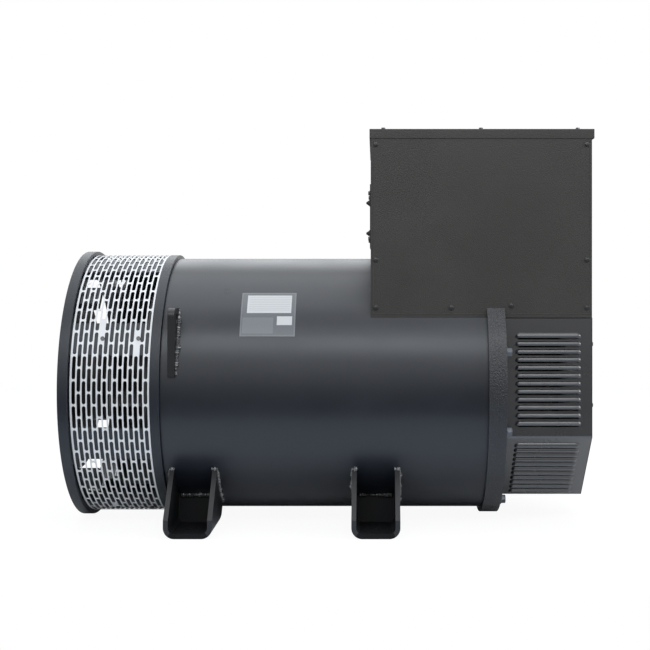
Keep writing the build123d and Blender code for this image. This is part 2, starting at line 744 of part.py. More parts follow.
def make_fan():
    """Cast radial fan: hub, back plate, leaning blades and eye ring."""
    fan = tube(FAN_X, FAN_X + FAN_WIDTH / 2, FAN_HUB_R)
    fan += tube(FAN_X, FAN_X + FAN_PLATE, FAN_R)
    blade = block(
        (FAN_X, FAN_X + FAN_WIDTH - FAN_PLATE),
        (0, FAN_R),
        (-FAN_BLADE_THICK / 2, FAN_BLADE_THICK / 2),
    )
    blade = Pos(0, FAN_EYE_R, 0) * Rot(FAN_BLADE_LEAN, 0, 0) * blade
    blade &= tube(FAN_X, FAN_X + FAN_WIDTH, FAN_R, FAN_EYE_R)
    fan += around(blade, FAN_BLADES)
    fan += tube(
        FAN_X + FAN_WIDTH - FAN_PLATE, FAN_X + FAN_WIDTH, FAN_R, FAN_EYE_R
    )
    return fan - tube(FAN_X, FAN_X + FAN_WIDTH, SHAFT_DE_R)


COUPLING_X = -DISC_SETBACK + DISC_PACK_THICK


def make_coupling_hub():
    """Hub shrunk on the shaft that carries the coupling discs."""
    return tube(COUPLING_X, COUPLING_X + HUB_COUPLING_LENGTH, HUB_COUPLING_R, SHAFT_DE_R)


def make_coupling_discs():
    """Pack of thin steel discs drilled for the flywheel bolts."""
    pack = tube(-DISC_SETBACK, COUPLING_X, DISC_OD / 2)
    hole = extrude(
        Plane.YZ.offset(-DISC_SETBACK) * Pos(DISC_PCD / 2, 0) * Circle(DISC_HOLE_D / 2),
        DISC_PACK_THICK,
    )
    return pack - around(hole, DISC_HOLES)


def make_clamp_ring():
    """Ring that presses the disc pack against the hub."""
    return tube(-DISC_SETBACK - CLAMP_RING_THICK, -DISC_SETBACK, CLAMP_RING_R)


def make_clamp_bolts():
    """Hexagon screws through the clamp ring."""
    head = hex_head(
        -DISC_SETBACK - CLAMP_RING_THICK,
        CLAMP_BOLT_R,
        0,
        CLAMP_BOLT_AF,
        CLAMP_BOLT_HEAD,
        (-1, 0, 0),
    )
    return group(around(head, CLAMP_BOLTS))


# ---------------------------------------------------------------------------
# Exciter and rotating rectifier
# ---------------------------------------------------------------------------
EXCITER_END = EXCITER_X + EXCITER_LENGTH


def make_exciter_stator():
    """Exciter field ring outboard of the bearing, on its spacer studs."""
    ring = tube(
        EXCITER_X, EXCITER_END, EXCITER_STATOR_R, EXCITER_ROTOR_R + EXCITER_GAP
    )
    stud = extrude(
        Plane.YZ.offset(NDE_FACE_X)
        * Pos(EXCITER_STUD_PCR, 0)
        * RegularPolygon(EXCITER_STUD_R, 8),
        EXCITER_X - NDE_FACE_X,
    )
    return group([ring] + around(stud, EXCITER_STUDS, FULL_TURN / NDE_SPOKES / 2))


def make_exciter_rotor():
    """Exciter armature on the shaft."""
    return tube(EXCITER_X, EXCITER_END, EXCITER_ROTOR_R, SHAFT_EXCITER_R)


def make_rectifier():
    """Insulated carrier disc of the rotating rectifier."""
    return tube(RECTIFIER_X, RECTIFIER_X + RECTIFIER_THICK, RECTIFIER_R, SHAFT_EXCITER_R)


def make_diodes():
    """Six stud diodes on the carrier."""
    diode = hex_head(
        RECTIFIER_X + RECTIFIER_THICK, DIODE_PCR, 0, DIODE_AF, DIODE_HEIGHT, (1, 0, 0)
    )
    return group(around(diode, DIODES))


# ---------------------------------------------------------------------------
# Louvred cover round the non-drive end
# ---------------------------------------------------------------------------
MITRE = SHEET * math.tan(math.radians(HALF_TURN / 8))


def louvre_hood():
    """One pressed louvre along X: a sloping hood open underneath."""
    out = LOUVRE_HOOD_OUT
    tall = LOUVRE_HOOD_HEIGHT
    wall = LOUVRE_HOOD_WALL
    outside = plate_yz([(0, 0), (-out, 0), (-out, wall), (0, tall)], 0, LOUVRE_LENGTH)
    hollow = plate_yz(
        [(SHEET, 0), (-out + wall, 0), (-out + wall, wall / 2), (0, tall - 2 * wall)],
        wall,
        LOUVRE_LENGTH - 2 * wall,
    )
    return outside, hollow


def make_louvre_panel():
    """Bent side sheet with a vertical and a sloping field of louvres."""
    panel = plate_yz(
        [
            (-COVER_HALF_WIDTH, BOX_BOTTOM_Z),
            (-COVER_HALF_WIDTH, COVER_SHOULDER_Z),
            (-COVER_FLAT_Y, COVER_BOTTOM_Z),
            (-COVER_FLAT_Y + MITRE, COVER_BOTTOM_Z + SHEET),
            (-COVER_HALF_WIDTH + SHEET, COVER_SHOULDER_Z + MITRE),
            (-COVER_HALF_WIDTH + SHEET, BOX_BOTTOM_Z),
        ],
        NDE_FACE_X,
        COVER_END - SHEET - NDE_FACE_X,
    )
    hood, hollow = louvre_hood()
    places = [
        Pos(LOUVRE_START_X, -COVER_HALF_WIDTH, LOUVRE_FIRST_Z - k * LOUVRE_PITCH)
        for k in range(LOUVRE_SIDE_COUNT)
    ]
    shoulder = Pos(LOUVRE_START_X, -COVER_HALF_WIDTH, COVER_SHOULDER_Z)
    shoulder = shoulder * Rot(HALF_TURN / 4, 0, 0)
    places += [
        shoulder * Pos(0, 0, -LOUVRE_CHAMFER_MARGIN - k * LOUVRE_CHAMFER_PITCH)
        for k in range(LOUVRE_CHAMFER_COUNT)
    ]
    panel += [place * hood for place in places]
    panel -= [place * hollow for place in places]
    return panel


def make_cover_bottom():
    """Flat strip that joins the two side sheets underneath, with mitred edges."""
    inner_y = COVER_FLAT_Y - MITRE
    return plate_yz(
        [
            (-COVER_FLAT_Y, COVER_BOTTOM_Z),
            (COVER_FLAT_Y, COVER_BOTTOM_Z),
            (inner_y, COVER_BOTTOM_Z + SHEET),
            (-inner_y, COVER_BOTTOM_Z + SHEET),
        ],
        NDE_FACE_X,
        COVER_END - SHEET - NDE_FACE_X,
    )


def make_cover_end():
    """Plain end plate, an octagon cut off at the terminal box."""
    half = COVER_HALF_WIDTH
    flat = COVER_FLAT_Y
    return plate_yz(
        [
            (-half, BOX_BOTTOM_Z),
            (-half, COVER_SHOULDER_Z),
            (-flat, COVER_BOTTOM_Z),
            (flat, COVER_BOTTOM_Z),
            (half, COVER_SHOULDER_Z),
            (half, BOX_BOTTOM_Z),
        ],
        COVER_END - SHEET,
        SHEET,
    )


# ---------------------------------------------------------------------------
# Terminal box
# ---------------------------------------------------------------------------
PANEL_TOP_Z = BOX_TOP_Z - SHEET


def make_side_panel():
    """Removable side sheet whose bottom edge follows the shell and the end ring."""
    panel = block(
        (BOX_START, BOX_END),
        (-COVER_HALF_WIDTH, -COVER_HALF_WIDTH + SHEET),
        (BOX_BOTTOM_Z, PANEL_TOP_Z),
    )
    return panel - [
        tube(BOX_START, NDE_RING_X, FRAME_R),
        tube(NDE_RING_X, NDE_FACE_X, NDE_RING_R),
    ]


def end_panel(x_start, inward):
    """End sheet of the terminal box with a return flange down each side."""
    inner_y = COVER_HALF_WIDTH - SHEET
    sheet = block(
        (x_start, x_start + SHEET), (-inner_y, inner_y), (BOX_BOTTOM_Z, PANEL_TOP_Z)
    )
    near = x_start + SHEET if inward > 0 else x_start - BOX_RETURN
    flange = block(
        (near, near + BOX_RETURN),
        (-inner_y, -inner_y + SHEET),
        (BOX_BOTTOM_Z, PANEL_TOP_Z),
    )
    return sheet + [flange, mirrored(flange)]


def make_box_de_panel():
    """End sheet over the frame, cut out to sit on the shell."""
    return end_panel(BOX_START, 1) - tube(BOX_START, BOX_START + 2 * BOX_RETURN, FRAME_R)


def make_box_nde_panel():
    """End sheet above the louvred cover."""
    return end_panel(BOX_END - SHEET, -1)


def make_lid():
    """Shallow folded lid with a lip all round."""
    low_x = BOX_START - LID_OVERHANG_DE
    high_x = BOX_END + LID_OVERHANG_NDE
    half = COVER_HALF_WIDTH + LID_OVERHANG_SIDE
    lid = block((low_x, high_x), (-half, half), (BOX_TOP_Z - LID_LIP, BOX_TOP_Z))
    lid -= block(
        (low_x + SHEET, high_x - SHEET),
        (-half + SHEET, half - SHEET),
        (BOX_TOP_Z - LID_LIP, PANEL_TOP_Z),
    )
    return lid


def make_box_floor():
    """Floor sheet on the saddle bars."""
    return block(
        (BOX_START + SHEET, BOX_END - SHEET),
        (-COVER_HALF_WIDTH + 2 * SHEET, COVER_HALF_WIDTH - 2 * SHEET),
        (BOX_FLOOR_Z, BOX_FLOOR_Z + SHEET),
    )


ACCESS_Y = -COVER_HALF_WIDTH + ACCESS_PLATE_MARGIN


def make_access_plate():
    """Small cover plate on the drive-end face of the box."""
    return block(
        (BOX_START - SHEET, BOX_START),
        (ACCESS_Y, ACCESS_Y + ACCESS_PLATE_WIDTH),
        ACCESS_PLATE_Z,
    )


def make_cones():
    """Rubber cable cones pushed through the access plate."""
    cones = []
    for z in CONE_Z:
        middle = ACCESS_Y + ACCESS_PLATE_WIDTH / 2
        base = Plane(origin=(BOX_START - SHEET, middle, z), z_dir=(-1, 0, 0))
        foot = base * RegularPolygon(CONE_R, 12)
        tip = base.offset(CONE_HEIGHT) * RegularPolygon(CONE_R / 3, 12)
        cones.append(loft([foot, tip]))
    return group(cones)


def make_plug():
    """Domed plug in the spare cable hole of the non-drive-end sheet."""
    low_y = -COVER_HALF_WIDTH + 3 * PLUG_R
    base = Plane(origin=(BOX_END, low_y, PLUG_Z), z_dir=(1, 0, 0))
    rim = base * Circle(PLUG_R)
    return extrude(rim, PLUG_HEIGHT, taper=HALF_TURN / 6)


def make_box_screws():
    """Hexagon screws in the lid, the side sheets and the access plate."""
    half = COVER_HALF_WIDTH
    edge_y = -half + LID_SCREW_MARGIN
    heads = [
        hex_head(x, edge_y, BOX_TOP_Z, SCREW_AF, SCREW_HEAD, (0, 0, 1))
        for x in LID_SCREW_X
    ]
    heads += [
        hex_head(x, -half, z, SCREW_AF, SCREW_HEAD, (0, -1, 0)) for x, z in SIDE_SCREWS
    ]
    access = [
        hex_head(BOX_START - SHEET, y, z, SCREW_AF, SCREW_HEAD, (-1, 0, 0))
        for y in (ACCESS_Y + SCREW_AF, ACCESS_Y + ACCESS_PLATE_WIDTH - SCREW_AF)
        for z in ACCESS_SCREW_Z
    ]
    return heads + [mirrored(head) for head in heads] + access


def make_cover_screws():
    """Hexagon screws that hold the cover end plate near its side edges."""
    y = -COVER_HALF_WIDTH + COVER_SCREW_MARGIN
    heads = [
        hex_head(COVER_END, y, z, SCREW_AF, SCREW_HEAD, (1, 0, 0))
        for z in COVER_SCREW_Z
    ]
    return heads + [mirrored(head) for head in heads]


BOARD_Z = BOX_FLOOR_Z + SHEET


def make_terminal_board():
    """Moulded block that insulates the output terminals."""
    length, width, height = BOARD_SIZE
    return block(
        (BOARD_X, BOARD_X + length), (-width / 2, width / 2), (BOARD_Z, BOARD_Z + height)
    )


def make_terminal_studs():
    """Output studs with their nuts, in two rows of six."""
    length, width, height = BOARD_SIZE
    studs = []
    for x in (BOARD_X + length / 4, BOARD_X + 3 * length / 4):
        for k in range(6):
            y = (k - 2.5) * width / 6
            nut = (BOARD_NUT_AF, BOARD_NUT_HEIGHT)
            studs.append(hex_head(x, y, BOARD_Z + height, *nut, (0, 0, 1)))
    return group(studs)


def make_regulator():
    """Potted voltage regulator on the non-drive-end sheet of the box."""
    length, width, height = REGULATOR_SIZE
    high_x = BOX_END - SHEET
    return block(
        (high_x - length, high_x),
        (-width / 2, width / 2),
        (BOARD_Z + REGULATOR_RISE, BOARD_Z + REGULATOR_RISE + height),
    )


NODES = {
    "de_bracket": make_bracket,
    "outlet_screen_upper_corners": lambda: group(screen_panels[0:3:2]),
    "outlet_screen_lower_front": lambda: screen_panels[4],
    "outlet_screen_lower_back": lambda: screen_panels[6],
    "outlet_screen_top": lambda: screen_panels[1],
    "outlet_screen_front": lambda: screen_panels[3],
    "outlet_screen_bottom": lambda: screen_panels[5],
    "outlet_screen_back": lambda: screen_panels[7],
    "screen_screws": make_screen_screws,
    "bracket_bolts": make_bracket_bolts,
    "frame_shell": make_frame,
    "nde_frame_ring": make_nde_ring,
    "box_rails": make_box_rails,
    "foot_de_front": lambda: make_foot(FOOT_X[0]),
    "foot_de_back": lambda: mirrored(make_foot(FOOT_X[0])),
    "foot_nde_front": lambda: make_foot(FOOT_X[1]),
    "foot_nde_back": lambda: mirrored(make_foot(FOOT_X[1])),
    "lifting_lug_front": make_lug,
    "lifting_lug_back": lambda: mirrored(make_lug()),
    "nde_bracket": make_nde_bracket,
    "nde_bolts": make_nde_bolts,
    "bearing_outer_race": make_bearing_outer,
    "bearing_inner_race": make_bearing_inner,
    "bearing_cap_outer": lambda: make_bearing_cap(BEARING_END, SHAFT_EXCITER_R),
    "stator_core": make_stator_core,
    "core_bars": make_core_bars,
    "winding_overhang_de": lambda: make_overhang(CORE_START, -1),
    "winding_overhang_nde": lambda: make_overhang(CORE_END, 1),
    "shaft": make_shaft,
    "rotor_core": make_rotor_core,
    "field_coils": make_field_coils,
    "fan": make_fan,
    "coupling_hub": make_coupling_hub,
    "coupling_discs": make_coupling_discs,
    "disc_clamp_ring": make_clamp_ring,
    "clamp_bolts": make_clamp_bolts,
    "exciter_stator": make_exciter_stator,
    "exciter_rotor": make_exciter_rotor,
    "rectifier_disc": make_rectifier,
    "rectifier_diodes": make_diodes,
    "louvre_panel_front": make_louvre_panel,
    "louvre_panel_back": lambda: mirrored(make_louvre_panel()),
    "cover_bottom": make_cover_bottom,
    "cover_end_plate": make_cover_end,
    "box_side_front": make_side_panel,
    "box_side_back": lambda: mirrored(make_side_panel()),
    "box_de_panel": make_box_de_panel,
    "box_nde_panel": make_box_nde_panel,
    "box_lid": make_lid,
    "box_floor": make_box_floor,
    "sheet_screws": lambda: group(make_box_screws() + make_cover_screws()),
    "access_plate": make_access_plate,
    "cable_cones": make_cones,
    "blanking_plug": make_plug,
    "rating_plate": make_rating_plate,
    "bearing_balls": make_bearing_balls,
    "bearing_cage": make_bearing_cage,
    "terminal_board": make_terminal_board,
    "terminal_studs": make_terminal_studs,
    "voltage_regulator": make_regulator,
}

os.makedirs("parts", exist_ok=True)
for node, make in NODES.items():
    export_step(make(), f"parts/{node}.step")
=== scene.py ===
import math

import bmesh
import bpy
import numpy as np
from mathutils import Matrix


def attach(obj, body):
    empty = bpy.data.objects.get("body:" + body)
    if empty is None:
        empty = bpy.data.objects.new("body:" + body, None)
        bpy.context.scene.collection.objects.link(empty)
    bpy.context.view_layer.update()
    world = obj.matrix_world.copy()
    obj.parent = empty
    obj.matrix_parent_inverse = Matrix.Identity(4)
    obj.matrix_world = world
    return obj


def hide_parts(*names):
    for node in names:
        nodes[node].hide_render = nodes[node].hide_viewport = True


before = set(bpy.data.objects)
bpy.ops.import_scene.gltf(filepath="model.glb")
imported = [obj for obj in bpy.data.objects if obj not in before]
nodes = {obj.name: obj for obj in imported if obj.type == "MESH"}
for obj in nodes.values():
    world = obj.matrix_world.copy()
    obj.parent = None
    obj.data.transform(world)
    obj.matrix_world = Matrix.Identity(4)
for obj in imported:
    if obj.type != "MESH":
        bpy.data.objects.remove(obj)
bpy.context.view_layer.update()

# --- Engine-end bracket ----------------------------------------------------
# Grey iron casting that bolts to the engine's flywheel housing. Sand cast, machined
# on its two faces, then brush painted charcoal, so the grain shows through the paint.


def cast_grain_group():
    """Sand-cast skin under paint: coarse lumps plus fine grain as height, and a colour
    that leans towards dust where a broad noise is high."""
    group = bpy.data.node_groups.new("cast_grain", "ShaderNodeTree")
    face = group.interface
    for label, kind, value in (
        ("Paint", "NodeSocketColor", (0.03, 0.03, 0.03, 1)),
        ("Dust", "NodeSocketColor", (0.1, 0.1, 0.1, 1)),
        ("Dusting", "NodeSocketFloat", 0.3),
        ("Grain Scale", "NodeSocketFloat", 300.0),
        ("Roughness", "NodeSocketFloat", 0.45),
    ):
        face.new_socket(label, in_out="INPUT", socket_type=kind).default_value = value
    face.new_socket("Color", in_out="OUTPUT", socket_type="NodeSocketColor")
    face.new_socket("Roughness", in_out="OUTPUT", socket_type="NodeSocketFloat")
    face.new_socket("Height", in_out="OUTPUT", socket_type="NodeSocketFloat")
    make, link = group.nodes.new, group.links.new
    given, out = make("NodeGroupInput"), make("NodeGroupOutput")
    place = make("ShaderNodeTexCoord")
    broad, grain = make("ShaderNodeTexNoise"), make("ShaderNodeTexNoise")
    broad.inputs["Scale"].default_value = 5.0
    broad.inputs["Detail"].default_value = 5.0
    grain.inputs["Detail"].default_value = 3.0
    link(place.outputs["Object"], broad.inputs["Vector"])
    link(place.outputs["Object"], grain.inputs["Vector"])
    link(given.outputs["Grain Scale"], grain.inputs["Scale"])
    sift = make("ShaderNodeMapRange")
    sift.inputs["From Min"].default_value = 0.42
    sift.inputs["From Max"].default_value = 0.75
    link(broad.outputs["Fac"], sift.inputs["Value"])
    share = make("ShaderNodeMath")
    share.operation = "MULTIPLY"
    link(sift.outputs["Result"], share.inputs[0])
    link(given.outputs["Dusting"], share.inputs[1])
    blend = make("ShaderNodeMix")
    blend.data_type = "RGBA"
    link(share.outputs[0], blend.inputs["Factor"])
    link(given.outputs["Paint"], blend.inputs["A"])
    link(given.outputs["Dust"], blend.inputs["B"])
    vary = make("ShaderNodeMath")
    vary.operation = "MULTIPLY_ADD"
    link(broad.outputs["Fac"], vary.inputs[0])
    vary.inputs[1].default_value = 0.22
    lower = make("ShaderNodeMath")
    lower.operation = "SUBTRACT"
    link(given.outputs["Roughness"], lower.inputs[0])
    lower.inputs[1].default_value = 0.11
    link(lower.outputs[0], vary.inputs[2])
    link(blend.outputs["Result"], out.inputs["Color"])
    link(vary.outputs[0], out.inputs["Roughness"])
    link(grain.outputs["Fac"], out.inputs["Height"])
    return group


cast_grain = cast_grain_group()


def coated(
    name, paint, dust, dusting, grain_scale, roughness, depth, metallic=0.0, gloss=0.0
):
    """A coated or bare solid finish: the grain group feeds colour, roughness and a
    bump whose distance is the depth of the grain in metres; gloss is a clear coat."""
    finish = bpy.data.materials.new(name)
    finish.use_nodes = True
    tree = finish.node_tree
    skin = tree.nodes["Principled BSDF"]
    skin.inputs["Metallic"].default_value = metallic
    skin.inputs["Specular IOR Level"].default_value = 0.5 + 0.5 * gloss
    skin.inputs["Coat Weight"].default_value = gloss
    skin.inputs["Coat Roughness"].default_value = 0.2
    grain = tree.nodes.new("ShaderNodeGroup")
    grain.node_tree = cast_grain
    grain.inputs["Paint"].default_value = (*paint, 1)
    grain.inputs["Dust"].default_value = (*dust, 1)
    grain.inputs["Dusting"].default_value = dusting
    grain.inputs["Grain Scale"].default_value = grain_scale
    grain.inputs["Roughness"].default_value = roughness
    bump = tree.nodes.new("ShaderNodeBump")
    bump.inputs["Distance"].default_value = depth
    tree.links.new(grain.outputs["Color"], skin.inputs["Base Color"])
    tree.links.new(grain.outputs["Roughness"], skin.inputs["Roughness"])
    tree.links.new(grain.outputs["Height"], bump.inputs["Height"])
    tree.links.new(bump.outputs["Normal"], skin.inputs["Normal"])
    return finish


def dress(name, finish, edge=0.0):
    """Gives a construction solid its finish, joins its loose triangles and rounds the
    edges sharper than 35 degrees by the given radius in metres."""
    solid = nodes[name]
    solid.data.materials.clear()
    solid.data.materials.append(finish)
    join = solid.modifiers.new("join", "WELD")
    join.merge_threshold = 0.00002
    if edge:
        round_off = solid.modifiers.new("round_off", "BEVEL")
        round_off.width = edge
        round_off.segments = 2
        round_off.limit_method = "ANGLE"
        round_off.angle_limit = math.radians(35)
        round_off.harden_normals = True
        round_off.use_clamp_overlap = True
    solid.data.polygons.foreach_set("use_smooth", [True] * len(solid.data.polygons))
    settle = solid.modifiers.new("settle", "WEIGHTED_NORMAL")
    settle.keep_sharp = True
    return solid


cast_paint = coated(
    "cast_paint", (0.010, 0.014, 0.021), (0.028, 0.034, 0.044), 0.35, 260, 0.40, 0.0006
)
dress("de_bracket", cast_paint, edge=0.0012)

# --- Outlet screen ---------------------------------------------------------
# Bright zinc-plated sheet wrapped round the bracket arms. Punched with round-ended
# slots in a brick pattern, left whole where its fixings pass to the arms.
SCREEN_START, SCREEN_END = 0.029, 0.225
SCREEN_RADIUS, SCREEN_SHEET = 0.3449, 0.0014
SLOTS_ROUND, SLOT_COLUMNS, COLUMN_PITCH = 35, 15, 0.0127
SLOT_LENGTH, SLOT_WIDTH = 0.0576, 0.0092
# a cell of the sheet has this many points on its face and as many on its back
CELL_SIDE = 40


def lay_mesh(name, points, faces, finish, body):
    """Makes a piece at the origin from arrays of points and of face corners, joins
    doubled points and turns every face outwards."""
    mesh = bpy.data.meshes.new(name)
    mesh.from_pydata(np.asarray(points).reshape(-1, 3).tolist(), [], faces)
    work = bmesh.new()
    work.from_mesh(mesh)
    bmesh.ops.remove_doubles(work, verts=work.verts, dist=0.000004)
    bmesh.ops.dissolve_degenerate(work, edges=work.edges, dist=0.000004)
    bmesh.ops.recalc_face_normals(work, faces=work.faces)
    work.to_mesh(mesh)
    work.free()
    mesh.update()
    mesh.polygons.foreach_set("use_smooth", [True] * len(mesh.polygons))
    mesh.set_sharp_from_angle(angle=math.radians(38))
    mesh.materials.append(finish)
    piece = bpy.data.objects.new(name, mesh)
    bpy.context.scene.collection.objects.link(piece)
    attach(piece, body)
    return piece


def punched_cell(length, width, slot_length, slot_width):
    """Flat cell of a punched sheet, as 20 points round its border and 20 round the
    slot: the border steps in eighths of its length so that cells laid half a cell
    apart share points, and the slot is two half circles joined by straights."""
    step = np.linspace(-1, 1, 9)
    r = slot_width / 2
    a = slot_length / 2 - r
    d = math.sqrt(0.5) * r
    low_u = np.r_[-a - d, np.linspace(-a, a, 7), a + d]
    low_v = np.r_[-d, np.full(7, -r), -d]
    border = np.r_[
        np.c_[step * length / 2, np.full(9, -width / 2)],
        [[length / 2, 0]],
        np.c_[-step * length / 2, np.full(9, width / 2)],
        [[-length / 2, 0]],
    ]
    slot = np.r_[
        np.c_[low_u, low_v], [[a + r, 0]], np.c_[-low_u, -low_v], [[-a - r, 0]]
    ]
    return np.r_[border, slot]


def cell_faces(pierced):
    """Faces of one cell with its face points 0-39 and its back points 40-79: a ring of
    quads on each side, and either the slot's wall or, in a whole cell, its filling."""
    k = np.arange(20)
    n = (k + 1) % 20
    rings = [np.c_[k, n, n + 20, k + 20], np.c_[k + 60, n + 60, n + 40, k + 40]]
    faces = [f for ring in rings for f in ring.tolist()]
    if pierced:
        return faces + np.c_[k + 20, n + 20, n + 60, k + 60].tolist()
    i = np.arange(8)
    fill = np.c_[i, i + 1, 17 - i, 18 - i].tolist() + [[8, 9, 10], [18, 19, 0]]
    return faces + [[20 + c for c in f] for f in fill] + [
        [60 + c for c in reversed(f)] for f in fill
    ]


def wrap(u, v, radius):
    """A point of the flat sheet rolled round the shaft: u turns, v runs along it."""
    return np.stack([v + 0 * u, -radius * np.cos(u), radius * np.sin(u)], axis=-1)


turn_step = 2 * math.pi / SLOTS_ROUND
# the slot's half circles are round in metres, so the cell is drawn there first
flat = punched_cell(turn_step * SCREEN_RADIUS, COLUMN_PITCH, SLOT_LENGTH, SLOT_WIDTH)
cell = np.c_[flat[:, 0] / SCREEN_RADIUS, flat[:, 1]]
columns_start = (SCREEN_START + SCREEN_END - SLOT_COLUMNS * COLUMN_PITCH) / 2
whole_places = [
    (x, turn) for x in (0.105, 0.194) for turn in (112.5, 22.5, -67.5, -157.5)
]
screen_points, screen_faces = [], []
count = 0
for column in range(SLOT_COLUMNS):
    x = columns_start + (column + 0.5) * COLUMN_PITCH
    for k in range(SLOTS_ROUND):
        angle = (k + 0.5 * (column % 2)) * turn_step
        u, v = cell[:, 0] + angle, cell[:, 1] + x
        screen_points.append(wrap(u, v, SCREEN_RADIUS))
        screen_points.append(wrap(u, v, SCREEN_RADIUS - SCREEN_SHEET))
        whole = any(
            abs(x - px) < COLUMN_PITCH * 0.55
            and abs((math.degrees(angle) - deg + 180) % 360 - 180) < 5.3
            for px, deg in whole_places
        )
        screen_faces += [[count + c for c in f] for f in cell_faces(not whole)]
        count += 2 * CELL_SIDE
rim_angles = np.arange(SLOTS_ROUND * 8) * turn_step / 8
for edge, column_edge in (
    (SCREEN_START, columns_start),
    (SCREEN_END - 0.0002, columns_start + SLOT_COLUMNS * COLUMN_PITCH),
):
    rows = [
        wrap(rim_angles, np.full(rim_angles.size, along), radius)
        for along, radius in (
            (column_edge, SCREEN_RADIUS),
            (edge, SCREEN_RADIUS),
            (edge, SCREEN_RADIUS - SCREEN_SHEET),
            (column_edge, SCREEN_RADIUS - SCREEN_SHEET),
        )
    ]
    screen_points += rows
    k = np.arange(rim_angles.size)
    n = (k + 1) % rim_angles.size
    for row in range(3):
        low, high = count + row * rim_angles.size, count + (row + 1) * rim_angles.size
        screen_faces += np.c_[low + k, low + n, high + n, high + k].tolist()
    count += 4 * rim_angles.size

zinc = coated(
    "zinc_sheet", (0.82, 0.83, 0.84), (0.70, 0.71, 0.73), 0.5, 90, 0.42, 0.0001, 0.15
)
screen = lay_mesh(
    "slotted_screen", np.concatenate(screen_points), screen_faces, zinc, "frame"
)
sheets = ("top", "front", "bottom", "back", "upper_corners", "lower_front", "lower_back")
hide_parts(*["outlet_screen_" + place for place in sheets])

# --- Frame barrel ----------------------------------------------------------
# Steel plate rolled and seam welded, with plug welds that hold the core bars showing
# as faint rings. Semi-gloss charcoal enamel over it.
BARREL_RADIUS = 0.336


def enamel(name, paint, roughness, peel, marks=(), gloss=0.0):
    """Sprayed enamel: the grain group gives a broad tone and a fine orange peel, and
    each mark (x, y, z, radius) adds a thin raised ring round its centre."""
    finish = coated(
        name, paint, (0.03, 0.034, 0.042), 0.25, 420, roughness, peel, gloss=gloss
    )
    tree = finish.node_tree
    if not marks:
        return finish
    bump = next(n for n in tree.nodes if n.type == "BUMP")
    place = tree.nodes.new("ShaderNodeTexCoord")
    total = None
    for x, y, z, radius in marks:
        gap = tree.nodes.new("ShaderNodeVectorMath")
        gap.operation = "DISTANCE"
        tree.links.new(place.outputs["Object"], gap.inputs[0])
        gap.inputs[1].default_value = (x, y, z)
        ring = tree.nodes.new("ShaderNodeMath")
        ring.operation = "COMPARE"
        tree.links.new(gap.outputs["Value"], ring.inputs[0])
        ring.inputs[1].default_value = radius
        ring.inputs[2].default_value = 0.0015
        if total is None:
            total = ring
            continue
        both = tree.nodes.new("ShaderNodeMath")
        both.operation = "ADD"
        tree.links.new(total.outputs[0], both.inputs[0])
        tree.links.new(ring.outputs[0], both.inputs[1])
        total = both
    ridge = tree.nodes.new("ShaderNodeBump")
    ridge.inputs["Distance"].default_value = 0.0012
    ridge.inputs["Strength"].default_value = 1.0
    tree.links.new(total.outputs[0], ridge.inputs["Height"])
    tree.links.new(bump.outputs["Normal"], ridge.inputs["Normal"])
    skin = tree.nodes["Principled BSDF"]
    tree.links.new(ridge.outputs["Normal"], skin.inputs["Normal"])
    return finish


def on_barrel(x, degrees, side=-1):
    """Points on a circle of the barrel's radius round the shaft, at angles above the
    horizontal, on the front (-1) or the back (1)."""
    a = np.radians(degrees)
    y, z = side * BARREL_RADIUS * np.cos(a), BARREL_RADIUS * np.sin(a)
    return np.stack([x + 0 * a, y, z], axis=-1)


plug_welds = [
    (*on_barrel(x, degrees), 0.009)
    for x, degrees in ((0.405, 48), (0.405, -47), (0.999, -60), (0.999, 2))
]
barrel_paint = enamel(
    "barrel_enamel", (0.013, 0.0165, 0.023), 0.34, 0.00008, plug_welds, 0.06
)
part_paint = enamel("part_enamel", (0.008, 0.0085, 0.0095), 0.40, 0.00025)
dress("frame_shell", barrel_paint, edge=0.0008)

# --- Free-end ring and bearing bracket -------------------------------------
# A welded ring on the barrel with the cast bearing bracket bolted against it. Both
# carry a thick, slightly pebbled coat.
pebbled_paint = coated(
    "pebbled_paint", (0.012, 0.0135, 0.017), (0.03, 0.033, 0.04), 0.3, 270, 0.36, 0.0022,
    gloss=0.15,
)
dress("nde_frame_ring", pebbled_paint, edge=0.0003)
dress("nde_bracket", pebbled_paint, edge=0.0003)

# --- Feet, lifting lugs and saddle bars ------------------------------------
# Feet are thick plate bent into a U with a web across its back. Lugs are flame-cut
# plate. All are welded to the barrel with a rippled hand-laid bead.
FEET = (("foot_de_", 0.323), ("foot_nde_", 0.783))
WEB_HALF, LEG_WELD_OUT, CAP_WELD_OUT = 0.0465, 0.060, 0.054
WEB_WELD_Y, WEB_WELD_Z = 0.1975, -0.2765
CAP_WELD_Y, CAP_WELD_Z = 0.2715, -0.1985
LUG_WELD_X = 0.2885
# Painted shade: a near-black enamel with little shine, for the shaded faces inside each foot.
painted_shade_paint = enamel("painted_shade_enamel", (0.006, 0.006, 0.0065), 0.65, 0.0003)
painted_shade_skin = painted_shade_paint.node_tree.nodes["Principled BSDF"]
painted_shade_skin.inputs["Specular IOR Level"].default_value = 0.15
for side in ("front", "back"):
    for foot, middle in FEET:
        plates = dress(foot + side, part_paint, edge=0.0018)
        plates.data.materials.append(painted_shade_paint)
        count = len(plates.data.polygons)
        centres, facing = np.zeros(count * 3), np.zeros(count * 3)
        plates.data.polygons.foreach_get("center", centres)
        plates.data.polygons.foreach_get("normal", facing)
        centres, facing = centres.reshape(-1, 3), facing.reshape(-1, 3)
        # painted shade: the faces between the legs, where shade falls, get a near-black, dull
        # finish
        in_painted_shade = (np.abs(centres[:, 0] - middle) < WEB_HALF) & (np.abs(facing[:, 0]) < 0.5)
        plates.data.polygons.foreach_set("material_index", in_painted_shade.astype(np.int32))
    dress("lifting_lug_" + side, part_paint, edge=0.0015)
dress("box_rails", part_paint, edge=0.001)


